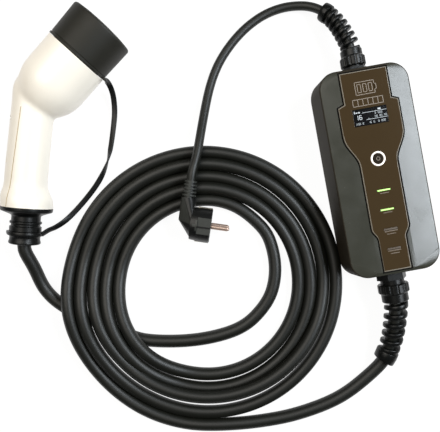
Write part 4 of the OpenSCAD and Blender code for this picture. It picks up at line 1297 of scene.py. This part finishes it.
@dataclass(frozen=True)
class BendProtector:
    """A rounded strip wound round a cord, with a collar at its tip."""

    end: str
    # Lengths along the cord's route, the starts from the end of the gland's nut
    nut_end: float
    start: float
    length: float
    turns: float
    # The bore's radius and the outer radius at the start and at the tip
    radii: tuple[float, float, float]
    collar_start: float
    collar_length: float
    collar_radii: tuple[float, float]
    # The collar's rounding at its foot and at its tip, inwards from its outside and from its ends
    foot_round: tuple[tuple[float, float], ...] = ((1, 0), (0.3, 0.3), (0, 1))
    tip_round: tuple[tuple[float, float], ...] = ((0.3, 1), (0.6, 0.3), (1.4, 0))
    # Shares of a turn that the strip takes up, and of its half width that its crown is rounded by
    strip_share: float = 0.52
    crown_share: float = 0.6
    crown_steps: int = 8
    turn_steps: int = 32
    bite: float = 0.6

    def strip(self, run: Run) -> None:
        """Winds the strip.

        Args:
            run: The cord's route.
        """
        inner, outer, tip = self.radii
        half = self.length / self.turns * self.strip_share / 2
        curve = half * self.crown_share
        crown = [math.pi * (i / self.crown_steps - 0.5) for i in range(self.crown_steps + 1)]
        rim = [
            (outer - curve + curve * math.cos(a), math.copysign(half - curve, a) + curve * math.sin(a))
            for a in crown
        ]
        bm = bmesh.new()
        verts = [bm.verts.new((r, 0, z)) for r, z in ((inner, -half), *rim, (inner, half))]
        edges = [bm.edges.new(pair) for pair in zip(verts, verts[1:] + verts[:1])]
        steps = round(self.turns * self.turn_steps)
        bmesh.ops.spin(
            bm, geom=verts + edges, cent=(0, 0, 0), axis=(0, 0, 1), dvec=(0, 0, self.length / steps),
            angle=math.tau * self.turns, steps=steps,
        )
        close_holes(bm)
        bmesh.ops.recalc_face_normals(bm, faces=bm.faces)
        narrowing = (outer - tip) / (outer - inner)
        for vert in bm.verts:
            r = math.hypot(vert.co.x, vert.co.y)
            share = min(max(vert.co.z / self.length, 0), 1)
            vert.co.xy *= (inner + (r - inner) * (1 - narrowing * share)) / r
        bend_along(bm, run, self.nut_end + self.start + half - self.bite)
        node = f"{self.end}_bend_spiral"
        write_piece(f"{node}_strip", bm, GLAND_NYLON, Body.UNIT, (node,), smooth_to=50.0)

    def collar(self, run: Run) -> None:
        """Ends the strip with a plain collar.

        Args:
            run: The cord's route.
        """
        bore, outer = self.collar_radii
        length = self.collar_length
        low = [(outer - inwards, up) for inwards, up in self.foot_round]
        high = [(outer - inwards, length - down) for inwards, down in self.tip_round]
        inside = ((bore, length), (bore, length / 2), (bore, 0))
        profile = [(bore, 0), *low, (outer, length / 2), *high, *inside]
        bm = revolve(profile, Matrix.Identity(4), steps=48)
        bend_along(bm, run, self.nut_end + self.collar_start)
        node = f"{self.end}_bend_collar"
        write_piece(f"{node}_skin", bm, GLAND_NYLON, Body.UNIT, (node,), smooth_to=40.0)

    def build(self, run: Run) -> None:
        """Builds strip and collar round a cord's route."""
        self.strip(run)
        self.collar(run)


@dataclass
class Cords:
    """The vehicle cable in its coil and the mains lead, with their bend protectors."""

    box: ControlBox
    connector: Connector
    plug: Plug
    plug_pieces: list[bpy.types.Object]
    cable: float = 13.5
    mains: float = 9.5
    # Height of the cable's middle where it lies on the table
    table: float = 6.8
    coil_middle: tuple[float, float] = (-172.2, -121.8)
    coil_turns: float = 4.5
    coil_steps: int = 36
    # The coil starts at its top, a quarter turn from X
    coil_start: float = 0.25
    # Radius of the coil at each quarter turn from the top, anticlockwise, from its inner end outwards
    coil_radii: tuple[float, ...] = (
        94.2, 92.7, 92.2, 98.1, 106.7, 105.8, 107.2, 111.3, 119.3, 119.1, 112.6, 124.7,
        132.5, 132.5, 132.6, 138.6, 145.4, 145.8, 145.6,
    )
    # Turns that lie closer than this ride up over each other
    touching: float = 13.1
    # Where every second turn changes places with its neighbours
    over_from: float = 0.25
    # The coil's hump over the lead: its height and its reach to each side, and where the two cross
    hump: float = 13.7
    hump_reach: float = 66.0
    crossing: tuple[float, float] = (-330.0, -235.0)
    crossing_below: float = -135.0
    lead: tuple[tuple[float, float, float], ...] = (
        (-352, -98.7, 16), (-347.8, -116.4, 10), (-338.2, -130.6, 7.5), (-326, -140.2, 7),
        (-312, -148.6, 6.8), (-296, -154, 6.8), (-280, -162, 6.8), (-264, -169, 6.8), (-250, -174, 6.8),
        (-237, -178, 6.8), (-207, -179, 6.8), (-179, -177, 6.8), (-152, -171, 6.8), (-130, -162, 6.8),
        (-114, -146, 6.8), (-102, -128, 6.8), (-98, -103, 6.8), (-101, -82, 6.8), (-107, -64, 6.8),
        (-117, -53, 6.8), (-128, -43, 6.8), (-142, -34, 6.8), (-158, -29, 6.8),
    )
    # Places of the cable's end along the boot and the handle
    lead_end: tuple[float, ...] = (-46.0, -38.0, -24.0)
    tail: tuple[tuple[float, float, float], ...] = (
        (24, -153, 22), (23.2, -170, 17.5), (20.8, -183, 13.8), (16.8, -195, 11.2), (11.2, -204, 9.6),
        (-4.6, -219, 8), (-22, -233.5, 7), (-45, -246, 6.8), (-81, -258, 6.8), (-104, -262, 6.8),
        (-130, -266, 6.8),
    )
    mains_way: tuple[tuple[float, float, float], ...] = (
        (-29.6, 143.6, 22.6), (-37.2, 157.2, 19.4), (-47.6, 169, 14.6), (-60.8, 176.6, 10.2),
        (-75.5, 178.9, 6.8), (-93.6, 176.8, 5.2), (-115.2, 167.4, 5), (-137.5, 148.9, 5),
        (-157.4, 121.7, 5), (-168.7, 92.7, 5.6), (-175.6, 56, 13), (-179, 34, 19.5), (-182, 16, 23.5),
    )
    # Places of the lead's end, up from the top of the plug's neck
    mains_end: tuple[float, ...] = (10.0, 0.0, -8.0)
    # Reaches from the box's ends: where each cord starts, the end of its nut and a point past it
    vehicle_reach: tuple[float, float, float] = (25.0, 30.6, 33.6)
    mains_reach: tuple[float, float, float] = (12.0, 23.6, 27.6)
    vehicle_guard: BendProtector = BendProtector(
        "vehicle", nut_end=vehicle_reach[1] - vehicle_reach[0],
        start=-4.6, length=57.6, turns=6, radii=(7.0, 12.2, 11.0),
        collar_start=55.0, collar_length=12.0, collar_radii=(6.4, 11.4),
    )
    mains_guard: BendProtector = BendProtector(
        "mains", nut_end=mains_reach[1] - mains_reach[0],
        start=0.0, length=45.0, turns=6.5, radii=(5.2, 10.4, 9.6),
        collar_start=46.0, collar_length=8.0, collar_radii=(4.5, 10.0),
    )

    def radius(self, turns: float) -> float:
        """Reads the coil's radius from a smooth curve through the quarter turns.

        Args:
            turns: Turns from the inner end.

        Returns:
            The radius there.
        """
        quarters = min(max(turns * 4, 0.0), len(self.coil_radii) - 1.0)
        i = min(int(quarters), len(self.coil_radii) - 2)
        return smooth_through(self.coil_radii, i, quarters - i)

    def lift(self, turns: float) -> float:
        """Works out how far every second turn rides up where its neighbours lie too close.

        Args:
            turns: Turns from the inner end.

        Returns:
            The height above the table's.
        """
        if math.floor(turns + 1 - self.over_from) % 2 == 0:
            return 0.0
        here = self.radius(turns)
        near = [n for n in (turns - 1, turns + 1) if 0 <= n <= self.coil_turns]
        gap = min((abs(self.radius(n) - here) for n in near), default=self.touching)
        return math.sqrt(max(self.touching**2 - gap**2, 0.0))

    def coil_point(self, turns: float, under: Sequence[Vector]) -> Vector:
        """Places a point of the coil, lifted over the lead that runs under it.

        Args:
            turns: Turns from the inner end, anticlockwise.
            under: Points of the lead where it runs under the coil.

        Returns:
            The point in the frame of the solids.
        """
        angle = math.tau * (turns + self.coil_start)
        r = self.radius(turns)
        x = self.coil_middle[0] + r * math.cos(angle)
        y = self.coil_middle[1] + r * math.sin(angle)
        away = min(math.hypot(x - p.x, y - p.y) for p in under)
        share = min(away / self.hump_reach, 1.0)
        over = self.hump * math.cos(math.pi / 2 * share) ** 2
        return Vector((x, y, self.table + max(over, self.lift(turns))))

    def vehicle_run(self) -> Run:
        """Lays out the vehicle cable's route, from the control box to the connector.

        Returns:
            The route.
        """
        start = [self.box.gland_point(-1, reach) for reach in self.vehicle_reach]
        left, right = self.crossing
        under = [p for p in Run(self.lead).points if left < p.x < right and p.y < self.crossing_below]
        count = int(self.coil_turns * self.coil_steps)
        coil = [self.coil_point(self.coil_turns - i / self.coil_steps, under) for i in range(count + 1)]
        end = [self.connector.point(0, y, 0) for y in self.lead_end]
        return Run([*start, *self.tail, *coil, *reversed(self.lead), *end], steps=5).eased(rounds=12)

    def mains_run(self) -> Run:
        """Lays out the mains lead's route, from the control box to the plug.

        Returns:
            The route.
        """
        start = [self.box.gland_point(1, reach) for reach in self.mains_reach]
        end = [self.plug.neck_point(self.plug.neck_top + more) for more in self.mains_end]
        return Run([*start, *self.mains_way, *end], steps=6).eased(rounds=6)

    def build(self) -> None:
        run = self.vehicle_run()
        self.vehicle_guard.build(run)
        replaced = ("vehicle_lead", "cable_coil", "vehicle_tail")
        cable = lay_cord("vehicle_cable", run, self.cable / 2, CABLE_RUBBER, replaced)
        run = self.mains_run()
        self.mains_guard.build(run)
        lead = lay_cord("mains_lead", run, self.mains / 2, CABLE_RUBBER, ("mains_cable",))


@dataclass
class Studio:
    """White table, soft light and the camera straight above it."""

    camera_at: tuple[float, float, float] = (-157.67, -45.24, 560.0)
    view_width: float = 475.2
    sensor: float = 36.0
    # In metres, so that no edge of the table shows
    table_half: float = 20.0

    def camera(self) -> None:
        """Sets the camera at the photograph's place."""
        data = bpy.data.cameras.new("camera")
        data.sensor_fit = "HORIZONTAL"
        data.sensor_width = self.sensor
        data.lens = self.sensor * self.camera_at[2] / self.view_width
        data.clip_start = 0.01
        camera = put("camera", data)
        camera.location = Vector(self.camera_at) * MM
        bpy.context.scene.camera = camera

    def floor(self) -> None:
        """Lays the white table, lit from within, so that it stays white under the faint shadows."""
        bm = bmesh.new()
        bmesh.ops.create_grid(bm, x_segments=1, y_segments=1, size=self.table_half)
        mesh = to_mesh(bm, "table")
        made = bpy.data.materials.new("White light table")
        made.use_nodes = True
        set_inputs(made.node_tree.nodes["Principled BSDF"], {
            "Base Color": linear("#5c5c5b"), "Roughness": 0.9, "Specular IOR Level": 0.0,
            "Emission Color": linear("#ffffff"), "Emission Strength": 0.93,
        })
        mesh.materials.append(made)
        put("table", mesh)

    def lamp(
        self,
        name: str,
        at: Sequence[float],
        aim: Sequence[float],
        size: Sequence[float],
        power: float,
        colour: str,
    ) -> None:
        """Hangs one softbox.

        Args:
            name: Its name.
            at: Where it hangs, in metres.
            aim: What it faces, in metres.
            size: Its width and height, in metres.
            power: Its power in watts.
            colour: Its colour.
        """
        data = bpy.data.lights.new(name, "AREA")
        data.shape = "RECTANGLE"
        data.size, data.size_y = size
        data.energy = power
        data.color = linear(colour)[:3]
        light = put(name, data)
        light.location = at
        light.rotation_euler = (Vector(aim) - Vector(at)).to_track_quat("-Z", "Y").to_euler()

    def light(self) -> None:
        """Sets the room's light and the softboxes."""
        world = bpy.data.worlds.new("room")
        world.use_nodes = True
        set_inputs(world.node_tree.nodes["Background"], {"Color": linear("#f4f6f7"), "Strength": 0.1})
        bpy.context.scene.world = world
        self.lamp(
            "window", at=(0.7, 0.2, 1.0), aim=(0, 0, 0), size=(0.9, 0.5), power=20, colour="#f0f8ff"
        )
        self.lamp(
            "lamp", at=(-0.68, 0.3, 1.25), aim=(-0.28, 0, 0), size=(1.05, 1.05), power=12, colour="#fffaf1"
        )
        bpy.context.scene.view_settings.view_transform = "Standard"

    def build(self) -> None:
        """Sets up the whole studio."""
        self.camera()
        self.floor()
        self.light()


def main() -> None:
    """Builds the charger piece by piece and reports each."""
    logging.basicConfig(level=logging.INFO, format="%(name)s: %(message)s")
    Studio().build()
    box, connector, plug = ControlBox(), Connector(), Plug()
    box.build()
    connector.build()
    Cords(box, connector, plug, plug.build()).build()
    dress_solids()


if __name__ == "__main__":
    main()
